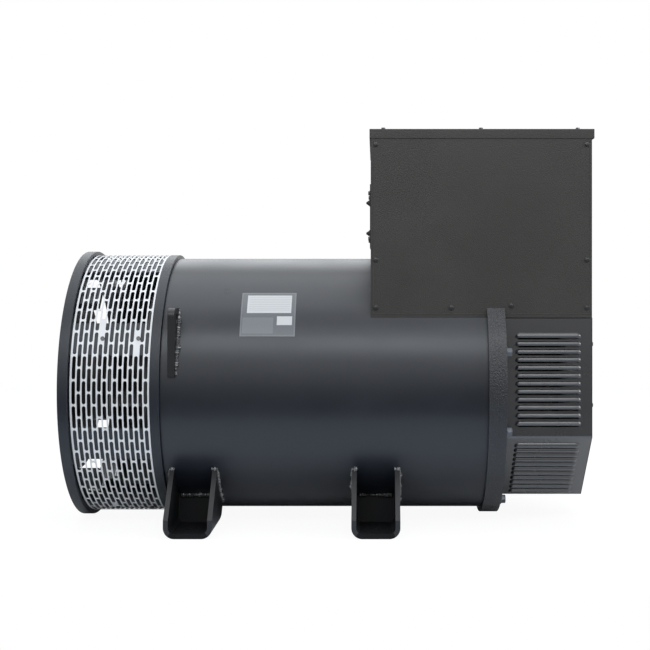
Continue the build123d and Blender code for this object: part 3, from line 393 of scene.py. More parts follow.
def bead(path, radius, ripple, seed):
    """A weld bead: a tube carried along the path, whose radius swells and shrinks as a
    sine of the distance run plus a little seeded roughness, and closes at both ends."""
    rng = np.random.default_rng(seed)
    run = np.r_[0, np.cumsum(np.linalg.norm(np.diff(path, axis=0), axis=1))]
    count = max(int(run[-1] / 0.0016), 12)
    s = np.linspace(0, run[-1], count)
    spine = np.stack([np.interp(s, run, path[:, i]) for i in range(3)], axis=1)
    along = np.gradient(spine, axis=0)
    along /= np.linalg.norm(along, axis=1, keepdims=True)
    side = np.cross(along, [0.31, 0.17, 0.94])
    side /= np.linalg.norm(side, axis=1, keepdims=True)
    up = np.cross(along, side)
    rough = np.convolve(rng.normal(0, 1, count + 6), np.ones(7) / 7, "valid")
    swell = 1 + 0.2 * np.sin(s / ripple * 2 * math.pi) + 0.75 * rough
    ends = np.clip(np.minimum(s, run[-1] - s) / radius, 0, 1)
    r = radius * swell * np.sqrt(np.clip(ends * (2 - ends), 0, 1))
    turn = np.arange(8) * math.pi / 4
    ring = side[:, None] * np.cos(turn)[None, :, None]
    ring = ring + up[:, None] * np.sin(turn)[None, :, None]
    return spine[:, None] + ring * r[:, None, None]


def tube_faces(rows, around, start):
    """Quads of a tube stored as rows of points, closed round and open along."""
    i, j = np.meshgrid(np.arange(rows - 1), np.arange(around), indexing="ij")
    n = (j + 1) % around
    quads = np.stack(
        [i * around + j, (i + 1) * around + j, (i + 1) * around + n, i * around + n], -1
    )
    return (quads.reshape(-1, 4) + start).tolist()


def lay_beads(name, paths, radius, ripple, finish):
    """One piece holding the beads of several paths."""
    points, faces, start = [], [], 0
    for seed, path in enumerate(paths):
        tube = bead(np.asarray(path, float), radius, ripple, seed)
        points.append(tube.reshape(-1, 3))
        faces += tube_faces(tube.shape[0], 8, start)
        start += tube.shape[0] * 8
    return lay_mesh(name, np.concatenate(points), faces, finish, "frame")


weld_paint = enamel("weld_enamel", (0.085, 0.083, 0.08), 0.2, 0.0004, gloss=1.0)
lug_welds, foot_welds = [], []
for side in (-1, 1):
    lug_welds.append(on_barrel(LUG_WELD_X, np.linspace(7, 37, 30), side))
    for _, middle in FEET:
        for x in (middle - LEG_WELD_OUT, middle + LEG_WELD_OUT):
            foot_welds.append(on_barrel(x, np.linspace(-63, -36.5, 30), side))
        web = np.linspace(middle - 0.044, middle + 0.044, 12)
        foot_welds.append(
            np.stack([web, 0 * web + side * WEB_WELD_Y, 0 * web + WEB_WELD_Z], axis=-1)
        )
        for x in (middle - CAP_WELD_OUT, middle + CAP_WELD_OUT):
            cap = np.linspace(x - 0.009, x + 0.009, 8)
            foot_welds.append(
                np.stack([cap, 0 * cap + side * CAP_WELD_Y, 0 * cap + CAP_WELD_Z], axis=-1)
            )
lug_bead = lay_beads("lug_welds", lug_welds, 0.0062, 0.0075, weld_paint)
foot_bead = lay_beads("foot_welds", foot_welds, 0.0052, 0.0075, weld_paint)

# --- Rating plate ----------------------------------------------------------
# Self-adhesive foil with a printed grey field, a blank white data panel with ruled
# rows and a small blank white box. It carries no words.
PLATE_X, PLATE_ANGLE = (0.443, 0.581), (24.0, 46.6)
PLATE_RADII, PLATE_STEPS = (0.3367, 0.33602), (25, 33)


def plate_sheet():
    """Thin curved sheet: one parameter runs along the shaft, the other round it, on an
    outer and an inner radius."""
    u, v = np.meshgrid(*(np.linspace(0, 1, steps) for steps in PLATE_STEPS), indexing="ij")
    x = PLATE_X[0] + u * (PLATE_X[1] - PLATE_X[0])
    a = np.radians(PLATE_ANGLE[0] + v * (PLATE_ANGLE[1] - PLATE_ANGLE[0]))
    return [
        np.stack([x, -r * np.cos(a), r * np.sin(a)], axis=-1) for r in PLATE_RADII
    ]


def grid_quads(rows, columns):
    """Quads of an open grid of points stored row by row."""
    i, j = np.meshgrid(np.arange(rows - 1), np.arange(columns - 1), indexing="ij")
    a = (i * columns + j).ravel()
    return np.c_[a, a + columns, a + columns + 1, a + 1]


def shell_faces(rows, columns):
    """Faces of a thin shell stored as an outer then an inner grid, with its rim."""
    outer = grid_quads(rows, columns)
    inner = outer[:, ::-1] + rows * columns
    grid = np.arange(rows * columns).reshape(rows, columns)
    edge = np.r_[grid[:-1, 0], grid[-1, :-1], grid[:0:-1, -1], grid[0, :0:-1]]
    after = np.roll(edge, -1)
    rim = np.c_[edge, after, after + rows * columns, edge + rows * columns]
    return np.r_[outer, inner, rim].tolist()


def rating_foil():
    """Foil finish read from the plate's own UV map: boxes are products of step masks,
    and the ruled rows come from a repeating ramp up the white panel."""
    finish = bpy.data.materials.new("rating_foil")
    finish.use_nodes = True
    tree = finish.node_tree
    make, link = tree.nodes.new, tree.links.new
    skin = tree.nodes["Principled BSDF"]
    uv, split = make("ShaderNodeUVMap"), make("ShaderNodeSeparateXYZ")
    uv.uv_map = "plate"
    link(uv.outputs["UV"], split.inputs[0])

    def calc(kind, a, b, c=None):
        step = make("ShaderNodeMath")
        step.operation = kind
        for place, value in enumerate((a, b, c)):
            if value is None:
                continue
            if isinstance(value, float):
                step.inputs[place].default_value = value
            else:
                link(value, step.inputs[place])
        return step.outputs[0]

    def box(low_u, high_u, low_v, high_v):
        sides = (
            calc("GREATER_THAN", split.outputs["X"], low_u),
            calc("LESS_THAN", split.outputs["X"], high_u),
            calc("GREATER_THAN", split.outputs["Y"], low_v),
            calc("LESS_THAN", split.outputs["Y"], high_v),
        )
        pair = calc("MULTIPLY", sides[0], sides[1])
        return calc("MULTIPLY", pair, calc("MULTIPLY", sides[2], sides[3]))

    panel = box(0.11, 0.92, 0.50, 0.93)
    label = box(0.665, 0.94, 0.235, 0.425)
    white = calc("MAXIMUM", panel, label)
    rows = calc("FRACT", calc("MULTIPLY", split.outputs["Y"], 23.0), None)
    rule = calc("LESS_THAN", rows, 0.16)
    inside = box(0.14, 0.89, 0.53, 0.90)
    ruled = calc("MULTIPLY", calc("MULTIPLY", rule, inside), 0.6)
    band = box(0.04, 0.60, 0.06, 0.40)
    border = calc("SUBTRACT", 1.0, box(0.022, 0.978, 0.022, 0.978))
    noise = make("ShaderNodeTexNoise")
    noise.inputs["Scale"].default_value = 55.0
    link(uv.outputs["UV"], noise.inputs["Vector"])
    tone = make("ShaderNodeMix")
    tone.data_type = "RGBA"
    tone.inputs["A"].default_value = (0.10, 0.11, 0.12, 1)
    tone.inputs["B"].default_value = (0.19, 0.20, 0.215, 1)
    link(noise.outputs["Fac"], tone.inputs["Factor"])
    layers = (
        (calc("MULTIPLY", band, 0.5), (0.26, 0.275, 0.29, 1)),
        (border, (0.20, 0.21, 0.225, 1)),
        (white, (0.66, 0.67, 0.67, 1)),
        (ruled, (0.25, 0.26, 0.27, 1)),
    )
    colour = tone.outputs["Result"]
    for mask, shade in layers:
        over = make("ShaderNodeMix")
        over.data_type = "RGBA"
        link(mask, over.inputs["Factor"])
        link(colour, over.inputs["A"])
        over.inputs["B"].default_value = shade
        colour = over.outputs["Result"]
    link(colour, skin.inputs["Base Color"])
    gloss = calc("MULTIPLY_ADD", white, 0.2, 0.32)
    link(gloss, skin.inputs["Roughness"])
    return finish


plate_points = np.concatenate([sheet.reshape(-1, 3) for sheet in plate_sheet()])
plate = lay_mesh(
    "rating_foil", plate_points, shell_faces(*PLATE_STEPS), rating_foil(), "frame"
)
layer = plate.data.uv_layers.new(name="plate")
corner = np.zeros(len(plate.data.loops), np.int32)
plate.data.loops.foreach_get("vertex_index", corner)
places = np.zeros(len(plate.data.vertices) * 3)
plate.data.vertices.foreach_get("co", places)
places = places.reshape(-1, 3)[corner]
up = np.degrees(np.arctan2(places[:, 2], -places[:, 1]))
plate_uv = np.c_[
    (places[:, 0] - PLATE_X[0]) / (PLATE_X[1] - PLATE_X[0]),
    (up - PLATE_ANGLE[0]) / (PLATE_ANGLE[1] - PLATE_ANGLE[0]),
]
layer.data.foreach_set("uv", plate_uv.ravel())
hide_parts("rating_plate")

# --- Louvred cover ---------------------------------------------------------
# Two bent side sheets with pressed louvres, a bottom strip and a plain end plate,
# folded from sheet about 2 mm thick. The louvred sheets have a glossy charcoal coat.
COVER_START, COVER_STOP = 1.107, 1.325
COVER_SIDE, COVER_TOP, SHOULDER, SLOPE_DROP = 0.2818, 0.1812, -0.118, 0.171
BEND_RADIUS, COVER_SHEET = 0.008, 0.0019
HOOD_LENGTH, HOOD_TALL, HOOD_OUT = 0.166, 0.0132, 0.0080
SIDE_PITCH, SLOPE_PITCH = 0.020, 0.0193
END_STEPS, MIDDLE_STEPS, HOOD_ROWS = 13, 7, 11
HOOD_STEPS = 2 * END_STEPS + MIDDLE_STEPS
HOOD_CREST, HOOD_ROUND_END, HOOD_SHEET = 0.62, 0.0125, 0.0013
SIDE_ROWS, SLOPE_ROWS = 12, 11
SIDE_FIRST, SLOPE_FIRST, LIP_DROP = 0.1320, 0.0368, -0.0004

cover_paint = coated(
    "cover_paint", (0.014, 0.0145, 0.016), (0.024, 0.025, 0.028), 0.3, 330, 0.28, 0.0002,
    gloss=1.0,
)


def cover_line(t):
    """Place and outward direction on the side sheet at a distance t down from its top:
    straight down, then an arc of 45 degrees, then straight down the slope."""
    setback = BEND_RADIUS * math.tan(math.pi / 8)
    straight = COVER_TOP - SHOULDER - setback
    arc = BEND_RADIUS * math.pi / 4
    turn = np.clip((t - straight) / arc, 0, 1) * math.pi / 4
    after = np.clip(t - straight - arc, 0, None)
    root = math.sqrt(0.5)
    y = -COVER_SIDE + BEND_RADIUS * (1 - np.cos(turn)) + after * root
    z = COVER_TOP - np.minimum(t, straight) - BEND_RADIUS * np.sin(turn) - after * root
    return y, z, -np.cos(turn), -np.sin(turn)


def on_cover(x, t, out, side):
    """Points of the sheet lifted outwards by out, on the front (-1) or back (1)."""
    y, z, ny, nz = cover_line(t)
    return np.stack([x + 0 * t, -side * (y + ny * out), z + nz * out], axis=-1)


side_length = COVER_TOP - SHOULDER
slope_length = SLOPE_DROP * math.sqrt(2)
row_centres = np.r_[
    COVER_TOP - SIDE_FIRST + SIDE_PITCH * np.arange(SIDE_ROWS),
    side_length + SLOPE_FIRST + SLOPE_PITCH * np.arange(SLOPE_ROWS),
]
cover_middle = (COVER_START + COVER_STOP) / 2
side_cell, slope_cell = (
    punched_cell(COVER_STOP - COVER_START, pitch, HOOD_LENGTH - 0.010, 0.0075)
    for pitch in (SIDE_PITCH, SLOPE_PITCH)
)
cell_steps = np.linspace(-1, 1, 9) * (COVER_STOP - COVER_START) / 2 + cover_middle


def cover_sheet(side):
    """The side sheet: a pierced cell for each louvre, and plain rows of quads above,
    between and below them that follow the bend."""
    points, faces, start = [], [], 0
    for number, t in enumerate(row_centres):
        cell = side_cell if number < SIDE_ROWS else slope_cell
        for out in (0.0, -COVER_SHEET):
            x, down = cell[:, 0] + cover_middle, cell[:, 1] + t
            points.append(on_cover(x, down, out, side))
        faces += [[start + c for c in f] for f in cell_faces(True)]
        start += 2 * CELL_SIDE
    top_end = row_centres[0] - SIDE_PITCH / 2
    mid_start = row_centres[SIDE_ROWS - 1] + SIDE_PITCH / 2
    mid_end = row_centres[SIDE_ROWS] - SLOPE_PITCH / 2
    low_start = row_centres[-1] + SLOPE_PITCH / 2
    bottom = side_length + slope_length - BEND_RADIUS * 0.04
    bands = [np.linspace(0, top_end, 4), np.linspace(mid_start, mid_end, 14)]
    bands.append(np.linspace(low_start, bottom, 3))
    for number, band in enumerate(bands):
        grid_x, grid_t = np.meshgrid(cell_steps, band, indexing="ij")
        for out in (0.0, -COVER_SHEET):
            points.append(on_cover(grid_x, grid_t, out, side).reshape(-1, 3))
        rows, columns = grid_x.shape
        outer = grid_quads(rows, columns)
        grid = np.arange(rows * columns).reshape(rows, columns)
        strips = [outer, outer + rows * columns]
        rims = [grid[0], grid[-1]]
        if number == 0:
            rims.append(grid[:, 0])
        if number == 2:
            rims.append(grid[:, -1])
        for rim in rims:
            low, high = rim[:-1], rim[1:]
            strips.append(np.c_[low, high, high + rows * columns, low + rows * columns])
        faces += [[start + c for c in f] for strip in strips for f in strip.tolist()]
        start += 2 * rows * columns
    # the ends of every cell close the sheet along its two upright edges
    for number in range(len(row_centres)):
        base = number * 2 * CELL_SIDE
        back = base + CELL_SIDE
        for a, b in ((8, 9), (9, 10), (18, 19), (19, 0)):
            faces.append([base + a, base + b, back + b, back + a])
    return np.concatenate([p.reshape(-1, 3) for p in points]), faces


def hood(t, side):
    """A pressed louvre: across, it rises as a quarter sine from its top edge and tucks
    back to an open lip, and along, its rise falls as a quarter circle at both ends."""
    end = np.linspace(0.84, 1, END_STEPS)
    step = np.r_[-end[::-1], np.linspace(-0.6, 0.6, MIDDLE_STEPS), end]
    along, down = np.meshgrid(step, np.linspace(0, 1, HOOD_ROWS), indexing="ij")
    half = HOOD_LENGTH / 2
    past = np.abs(along) * half - (half - HOOD_ROUND_END)
    past = np.clip(past / HOOD_ROUND_END, 0, 1)
    full = np.sqrt(1 - past**2)
    lip = t + LIP_DROP
    place = lip - HOOD_TALL * (0.25 + 0.75 * full) * (1 - down)
    bulge = np.sin(np.clip(down / HOOD_CREST, 0, 1) * math.pi / 2) ** 0.8
    tuck = 0.42 * np.clip((down - HOOD_CREST) / (1 - HOOD_CREST), 0, 1) ** 1.6
    rise = HOOD_OUT * full * (bulge - tuck) - 0.0006
    x = cover_middle + along * half
    outer = on_cover(x, place, rise, side)
    x = cover_middle + along * (half - 0.0012)
    inner = on_cover(x, place, rise - HOOD_SHEET, side)
    return np.concatenate([outer.reshape(-1, 3), inner.reshape(-1, 3)])


# a known fault, kept: each name says the other side of the machine from where its
# piece lies, so louvre_sheet_front and louvre_hoods_front are on the back
for side, word in ((1, "front"), (-1, "back")):
    points, faces = cover_sheet(side)
    sheet = lay_mesh("louvre_sheet_" + word, points, faces, cover_paint, "frame")
    hood_points, hood_faces = [], []
    for number, t in enumerate(row_centres):
        hood_points.append(hood(t, side))
        first = number * 2 * HOOD_STEPS * HOOD_ROWS
        hood_faces += [
            [c + first for c in f] for f in shell_faces(HOOD_STEPS, HOOD_ROWS)
        ]
    points = np.concatenate(hood_points)
    hoods = lay_mesh("louvre_hoods_" + word, points, hood_faces, cover_paint, "frame")
    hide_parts("louvre_panel_" + word)
plain_paint = coated(
    "plain_cover_paint", (0.018, 0.018, 0.0185), (0.03, 0.03, 0.03), 0.3, 330, 0.4, 0.0003,
    gloss=0.15,
)
dress("cover_bottom", plain_paint)
dress("cover_end_plate", plain_paint, edge=0.0007)

# --- Terminal box ----------------------------------------------------------
# Folded sheet box with screwed side sheets and a shallow lid, in a satin charcoal a
# little browner than the cover's. The side sheets have a folded rim.
BOX_FACE = 0.282
box_paint = coated(
    "box_paint", (0.034, 0.031, 0.028), (0.050, 0.047, 0.043), 0.5, 380, 0.48, 0.0006
)
for sheet in ("box_side_front", "box_side_back", "box_de_panel", "box_nde_panel"):
    dress(sheet, box_paint, edge=0.0008)
dress("box_lid", box_paint, edge=0.0009)
HEM_X, HEM_Z, HEM_Y, HEM_R = (0.7755, 1.3215), (0.1925, 0.6420), 0.2816, 0.0011


def hem(side):
    """The folded rim of a side sheet: a round bead of constant radius carried round a
    rectangle, with its corner sections turned to the mitre."""
    turn = np.arange(8) * math.pi / 4
    mid_x, mid_z = sum(HEM_X) / 2, sum(HEM_Z) / 2
    rows = []
    for i, j in ((0, 0), (1, 0), (1, 1), (0, 1), (0, 0)):
        x, z = HEM_X[i], HEM_Z[j]
        away = HEM_R * np.cos(turn)
        rows.append(
            np.c_[
                x + math.copysign(1, x - mid_x) * away,
                side * (HEM_Y + HEM_R * np.sin(turn)),
                z + math.copysign(1, z - mid_z) * away,
            ]
        )
    return np.concatenate(rows), tube_faces(5, 8, 0)


front_rim, rim_faces = hem(-1)
back_rim, more_faces = hem(1)
rims = lay_mesh(
    "box_side_rims",
    np.r_[front_rim, back_rim],
    rim_faces + [[c + len(front_rim) for c in f] for f in more_faces],
    box_paint,
    "frame",
)
dress("box_floor", box_paint)
dress("access_plate", box_paint, edge=0.0006)

# --- Screw heads -----------------------------------------------------------
# Hexagon heads, forged with a chamfered top. The sheet screws have a flange and dark
# paint. The free-end bracket's bolts are plated and sit on plain washers.
SCREW_FLATS, SCREW_TALL, LID_SCREW_TALL, SCREW_SKIRT = 0.010, 0.0044, 0.0046, 0.0072
BOLT_CIRCLE, BOLT_SEAT, WASHER_RADIUS, WASHER_THICK = 0.334, 1.107, 0.013, 0.003


def square_to(direction):
    """The direction as an array, and two directions square to it and to each other."""
    direction = np.asarray(direction, float)
    helper = np.array([0.0, 0, 1]) if abs(direction[2]) < 0.9 else np.array([1.0, 0, 0])
    side = np.cross(helper, direction)
    return direction, side, np.cross(direction, side)


def hex_head(places, direction, flats, height, skirt=0.0):
    """Heads at several places: round each, the radius follows a hexagon's flats, rings
    climb to the chamfer, then close over a slightly domed top. A skirt is the radius
    of the round flange under the hexagon."""
    direction, side, up = square_to(direction)
    turn = np.arange(24) * math.pi / 12
    round_way = np.cos(turn)[:, None] * side + np.sin(turn)[:, None] * up
    fold = turn % (math.pi / 3) - math.pi / 6
    hexagon = flats / 2 / np.cos(fold)
    inner = np.full(24, flats / 2 * 0.97)
    rings = [
        (hexagon, -0.0004),
        (hexagon, height * 0.78),
        (np.minimum(hexagon, flats / 2 * 1.06), height * 0.92),
        (inner * 0.93, height),
        (inner * 0.5, height * 1.01),
        (inner * 0.0, height * 1.01),
    ]
    shape = np.stack([r[:, None] * round_way + rise * direction for r, rise in rings])
    floor = np.repeat((-0.0004 * direction)[None, None], 24, axis=1)
    if skirt:
        round_face = skirt * round_way
        floor = np.stack(
            [
                floor[0],
                round_face - 0.0004 * direction,
                round_face + 0.0009 * direction,
                round_face * 0.94 + 0.0013 * direction,
            ]
        )
        shape[0] += 0.0017 * direction
    shape = np.concatenate([floor, shape])
    faces, points = [], []
    for number, place in enumerate(np.asarray(places, float)):
        points.append((shape + place).reshape(-1, 3))
        faces += tube_faces(len(shape), 24, number * len(shape) * 24)
    return np.concatenate(points), faces


def lay_heads(name, groups, finish, body, node):
    """One piece holding the heads of several groups, in place of the plain prisms."""
    points, faces, start = [], [], 0
    for settings in groups:
        more, shapes = hex_head(*settings)
        faces += [[c + start for c in f] for f in shapes]
        points.append(more)
        start += len(more)
    piece = lay_mesh(name, np.concatenate(points), faces, finish, body)
    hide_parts(node)
    return piece


screw_paint = coated(
    "screw_paint", (0.012, 0.012, 0.0125), (0.04, 0.04, 0.04), 0.3, 500, 0.3, 0.0001,
    gloss=0.3,
)
lid_y = BOX_FACE - 0.012
lid_places = [(x, s * lid_y, 0.657) for x in (0.802, 1.048, 1.292) for s in (-1, 1)]
side_places = [(x, z) for x in (0.7825, 1.3135) for z in (0.618, 0.328, 0.208)]
side_places += [(0.9725, 0.208), (1.1235, 0.213)]
cover_places = [(1.327, s * 0.262, z) for s in (-1, 1) for z in (0.116, -0.038)]
access_places = [(0.768, y, z) for y in (-0.252, -0.082) for z in (0.3825, 0.4975)]
screw_groups = [(lid_places, (0, 0, 1), SCREW_FLATS, LID_SCREW_TALL, SCREW_SKIRT)]
screw_groups += [
    (places, way, SCREW_FLATS, SCREW_TALL, SCREW_SKIRT)
    for places, way in (
        ([(x, -BOX_FACE, z) for x, z in side_places], (0, -1, 0)),
        ([(x, BOX_FACE, z) for x, z in side_places], (0, 1, 0)),
        (cover_places, (1, 0, 0)),
        (access_places, (-1, 0, 0)),
    )
]
lay_heads(
    "sheet_screw_heads", screw_groups, screw_paint, "frame", "sheet_screws"
)


def turned(profile, around, centre, direction):
    """A solid of revolution: rings of the profile's radius stand at its heights along
    the direction from the centre."""
    direction, side, up = square_to(direction)
    turn = np.arange(around) * 2 * math.pi / around
    round_way = np.cos(turn)[:, None] * side + np.sin(turn)[:, None] * up
    rings = [r * round_way + h * direction + np.asarray(centre) for h, r in profile]
    return np.stack(rings).reshape(-1, 3), tube_faces(len(profile), around, 0)


def lay_turned(name, profile, around, centres, direction, finish):
    """One piece holding the same solid of revolution at each of several centres."""
    points, faces = [], []
    for number, centre in enumerate(centres):
        more, shapes = turned(profile, around, centre, direction)
        points.append(more)
        faces += [[c + number * len(more) for c in f] for f in shapes]
    piece = lay_mesh(name, np.concatenate(points), faces, finish, "frame")
    return piece


bolt_turns = [math.radians(s * a) for s in (-1, 1) for a in (17.2, 61.5, 118.5, 162.8)]
bolt_ring = [(BOLT_CIRCLE * math.cos(a), BOLT_CIRCLE * math.sin(a)) for a in bolt_turns]
washer_profile = (
    (0, 0), (0, WASHER_RADIUS), (WASHER_THICK * 0.7, WASHER_RADIUS),
    (WASHER_THICK, WASHER_RADIUS * 0.94), (WASHER_THICK, 0),
)
plated = coated(
    "plated_steel", (0.10, 0.108, 0.125), (0.16, 0.17, 0.19), 0.4, 500, 0.34, 0.0001, 0.35
)
washer_places = [(BOLT_SEAT, y, z) for y, z in bolt_ring]
lay_turned(
    "nde_washers", washer_profile, 24, washer_places, (1, 0, 0), plated
)
head_places = [(BOLT_SEAT + WASHER_THICK, y, z) for y, z in bolt_ring]
head_groups = [(head_places, (1, 0, 0), 0.020, 0.011)]
lay_heads("nde_bolt_heads", head_groups, plated, "frame", "nde_bolts")

# --- Cable cones and blanking plug -----------------------------------------
# Moulded rubber: two blind cable cones in the access plate and a domed plug in the
# spare hole of the free-end sheet.
rubber = coated("rubber", (0.012, 0.012, 0.012), (0.03, 0.03, 0.03), 0.3, 600, 0.6, 0.0001)
cone_profile = (
    (0, 0), (0, 0.0088), (0.0012, 0.009), (0.0020, 0.0082), (0.0036, 0.0066),
    (0.0065, 0.0044), (0.0090, 0.0029), (0.0100, 0.0018), (0.0100, 0),
)
cone_places = [(0.768, -0.167, z) for z in (0.399, 0.478)]
cones = lay_turned(
    "rubber_cones", cone_profile, 24, cone_places, (-1, 0, 0), rubber
)
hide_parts("cable_cones")
plug_profile = (
    (0, 0), (0, 0.0138), (0.0012, 0.014), (0.0028, 0.0129), (0.0044, 0.0103),
    (0.0055, 0.0065), (0.0059, 0.0025), (0.0060, 0),
)
plug_place = [(1.326, -0.240, 0.271)]
plug = lay_turned("rubber_plug", plug_profile, 32, plug_place, (1, 0, 0), rubber)
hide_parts("blanking_plug")

# --- Coil ends -------------------------------------------------------------
# Copper loops laced into a ring at each end of the stator, dipped in red-brown
# varnish, so every loop still shows as a rounded knuckle.
COIL_LOOPS, COIL_RADIUS, COIL_REACH = 48, 0.248, 0.040
COIL_HALF_LENGTH, COIL_HALF_HEIGHT, KNUCKLE = 0.0395, 0.0275, 0.07
varnish = coated(
    "coil_varnish", (0.10, 0.028, 0.014), (0.03, 0.014, 0.009), 0.6, 160, 0.35, 0.0006
)


def coil_ring(core_x, way):
    """A ring whose section is a bar rounded as a power of sine and cosine. It swells
    by the square root of a cosine over each loop."""
    around, section = COIL_LOOPS * 8, 14
    a, s = np.meshgrid(
        np.arange(around) * 2 * math.pi / around, np.arange(section) / section * 2 * math.pi,
        indexing="ij",
    )
    knuckle = 1 - KNUCKLE + KNUCKLE * np.abs(np.cos(a * COIL_LOOPS / 2)) ** 0.5
    across = np.sign(np.cos(s)) * np.abs(np.cos(s)) ** 0.6
    height = np.sign(np.sin(s)) * np.abs(np.sin(s)) ** 0.6
    x = core_x + way * (COIL_REACH + COIL_HALF_LENGTH * across * knuckle)
    r = COIL_RADIUS + COIL_HALF_HEIGHT * height * knuckle
    points = np.stack([x, r * np.cos(a), r * np.sin(a)], axis=-1).reshape(-1, 3)
    i, j = np.meshgrid(np.arange(around), np.arange(section), indexing="ij")
    m, n = (i + 1) % around, (j + 1) % section
    quads = np.stack([i * section + j, m * section + j, m * section + n, i * section + n], -1)
    return points, quads.reshape(-1, 4).tolist()


for word, core_x, way in (("de", 0.400, -1), ("nde", 1.000, 1)):
    points, faces = coil_ring(core_x, way)
    coils = lay_mesh("coil_ends_" + word, points, faces, varnish, "frame")
    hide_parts("winding_overhang_" + word)

# --- Laminated cores -------------------------------------------------------
# Half-millimetre electrical steel stampings, stacked, pressed and held by bars. Their
# edges show as fine lines across the shaft, browned by varnish.


def laminated(name):
    """Stacked edges: bands across X set the bump, over a broad varnish tone."""
    finish = coated(name, (0.10, 0.085, 0.075), (0.04, 0.03, 0.026), 0.7, 120, 0.5, 0.0002, 0.5)
    tree = finish.node_tree
    place, bands = tree.nodes.new("ShaderNodeTexCoord"), tree.nodes.new("ShaderNodeTexWave")
    bands.bands_direction = "X"
    bands.inputs["Scale"].default_value = 120.0
    bands.inputs["Distortion"].default_value = 0.6
    tree.links.new(place.outputs["Object"], bands.inputs["Vector"])
    bump = next(n for n in tree.nodes if n.type == "BUMP")
    tree.links.new(bands.outputs["Fac"], bump.inputs["Height"])
    return finish


lamination = laminated("lamination")
for core in ("stator_core", "rotor_core", "exciter_stator", "exciter_rotor"):
    dress(core, lamination)
dress("core_bars", part_paint)
dress("field_coils", varnish, edge=0.006)

# --- Shaft line ------------------------------------------------------------
# Turned steel shaft with its hub, thin flywheel discs, clamp ring and a cast
# aluminium fan. Left bare with a film of oil.
oiled_steel = coated(
    "oiled_steel", (0.035, 0.034, 0.034), (0.02, 0.02, 0.02), 0.5, 700, 0.45, 0.00005, 0.3
)
# The fan's cast aluminium is given a dark colour as painted shade for the unlit inside of the
# bracket.
shade_darkened_aluminium = coated(
    "shade_darkened_aluminium", (0.085, 0.087, 0.09), (0.05, 0.05, 0.05), 0.6, 240, 0.55, 0.0004, 0.4
)
for turned_part in ("shaft", "coupling_hub", "coupling_discs", "disc_clamp_ring"):
    dress(turned_part, oiled_steel, edge=0.0008)
dress("fan", shade_darkened_aluminium, edge=0.0012)
eighths = np.radians(np.arange(8) * 45)
clamp_places = [(-0.0354, 0.076 * math.cos(a), 0.076 * math.sin(a)) for a in eighths]
clamp_groups = [(clamp_places, (-1, 0, 0), 0.018, 0.008)]
lay_heads(
    "clamp_bolt_heads", clamp_groups, screw_paint, "rotor", "clamp_bolts"
)
bolt_steel = coated(
    "bolt_steel", (0.30, 0.30, 0.30), (0.12, 0.12, 0.12), 0.4, 500, 0.35, 0.0001, 0.85
)
inner_places = [(0.225, 0.316 * math.cos(a), 0.316 * math.sin(a)) for a in eighths]
inner_groups = [(inner_places, (-1, 0, 0), 0.022, 0.009)]
lay_heads(
    "bracket_bolt_heads", inner_groups, bolt_steel, "frame", "bracket_bolts"
)

# --- Bearing, exciter and rectifier ----------------------------------------
# Shielded ball bearing in the end bracket, with the exciter and the diode carrier
# overhung beyond it under the cover.
ground_steel = coated(
    "ground_steel", (0.50, 0.50, 0.51), (0.35, 0.34, 0.33), 0.3, 900, 0.22, 0.00002, 0.95
)
for ring in ("bearing_outer_race", "bearing_inner_race", "bearing_cage", "bearing_balls"):
    dress(ring, ground_steel)
dress("bearing_cap_outer", oiled_steel, edge=0.0006)
carrier = coated(
    "carrier", (0.30, 0.21, 0.10), (0.20, 0.14, 0.07), 0.5, 300, 0.45, 0.0001
)
dress("rectifier_disc", carrier, edge=0.0006)
dress("rectifier_diodes", bolt_steel, edge=0.0006)

# --- Inside the terminal box -----------------------------------------------
# Moulded terminal board with brass studs, and the potted voltage regulator on the
# free-end sheet.
moulding = coated("moulding", (0.25, 0.05, 0.03), (0.15, 0.04, 0.03), 0.4, 350, 0.35, 0.0001)
potting = coated("potting", (0.015, 0.015, 0.017), (0.04, 0.04, 0.04), 0.3, 200, 0.3, 0.0003)
dress("terminal_board", moulding, edge=0.002)
dress("terminal_studs", bolt_steel, edge=0.0006)
dress("voltage_regulator", potting, edge=0.002)

# --- Screen fixings --------------------------------------------------------
# Eight small screws in dark paint, through the places of the screen that are left
# unpunched. They hold the sheet to the bracket.
dress("screen_screws", screw_paint, edge=0.0004)

# --- Floor, light and camera -----------------------------------------------
# A flat white floor and white surroundings under even, soft light. Reflections that
# look down and towards the front see the surroundings darker. The camera stands in
# front of the machine, at the height of the terminal box.


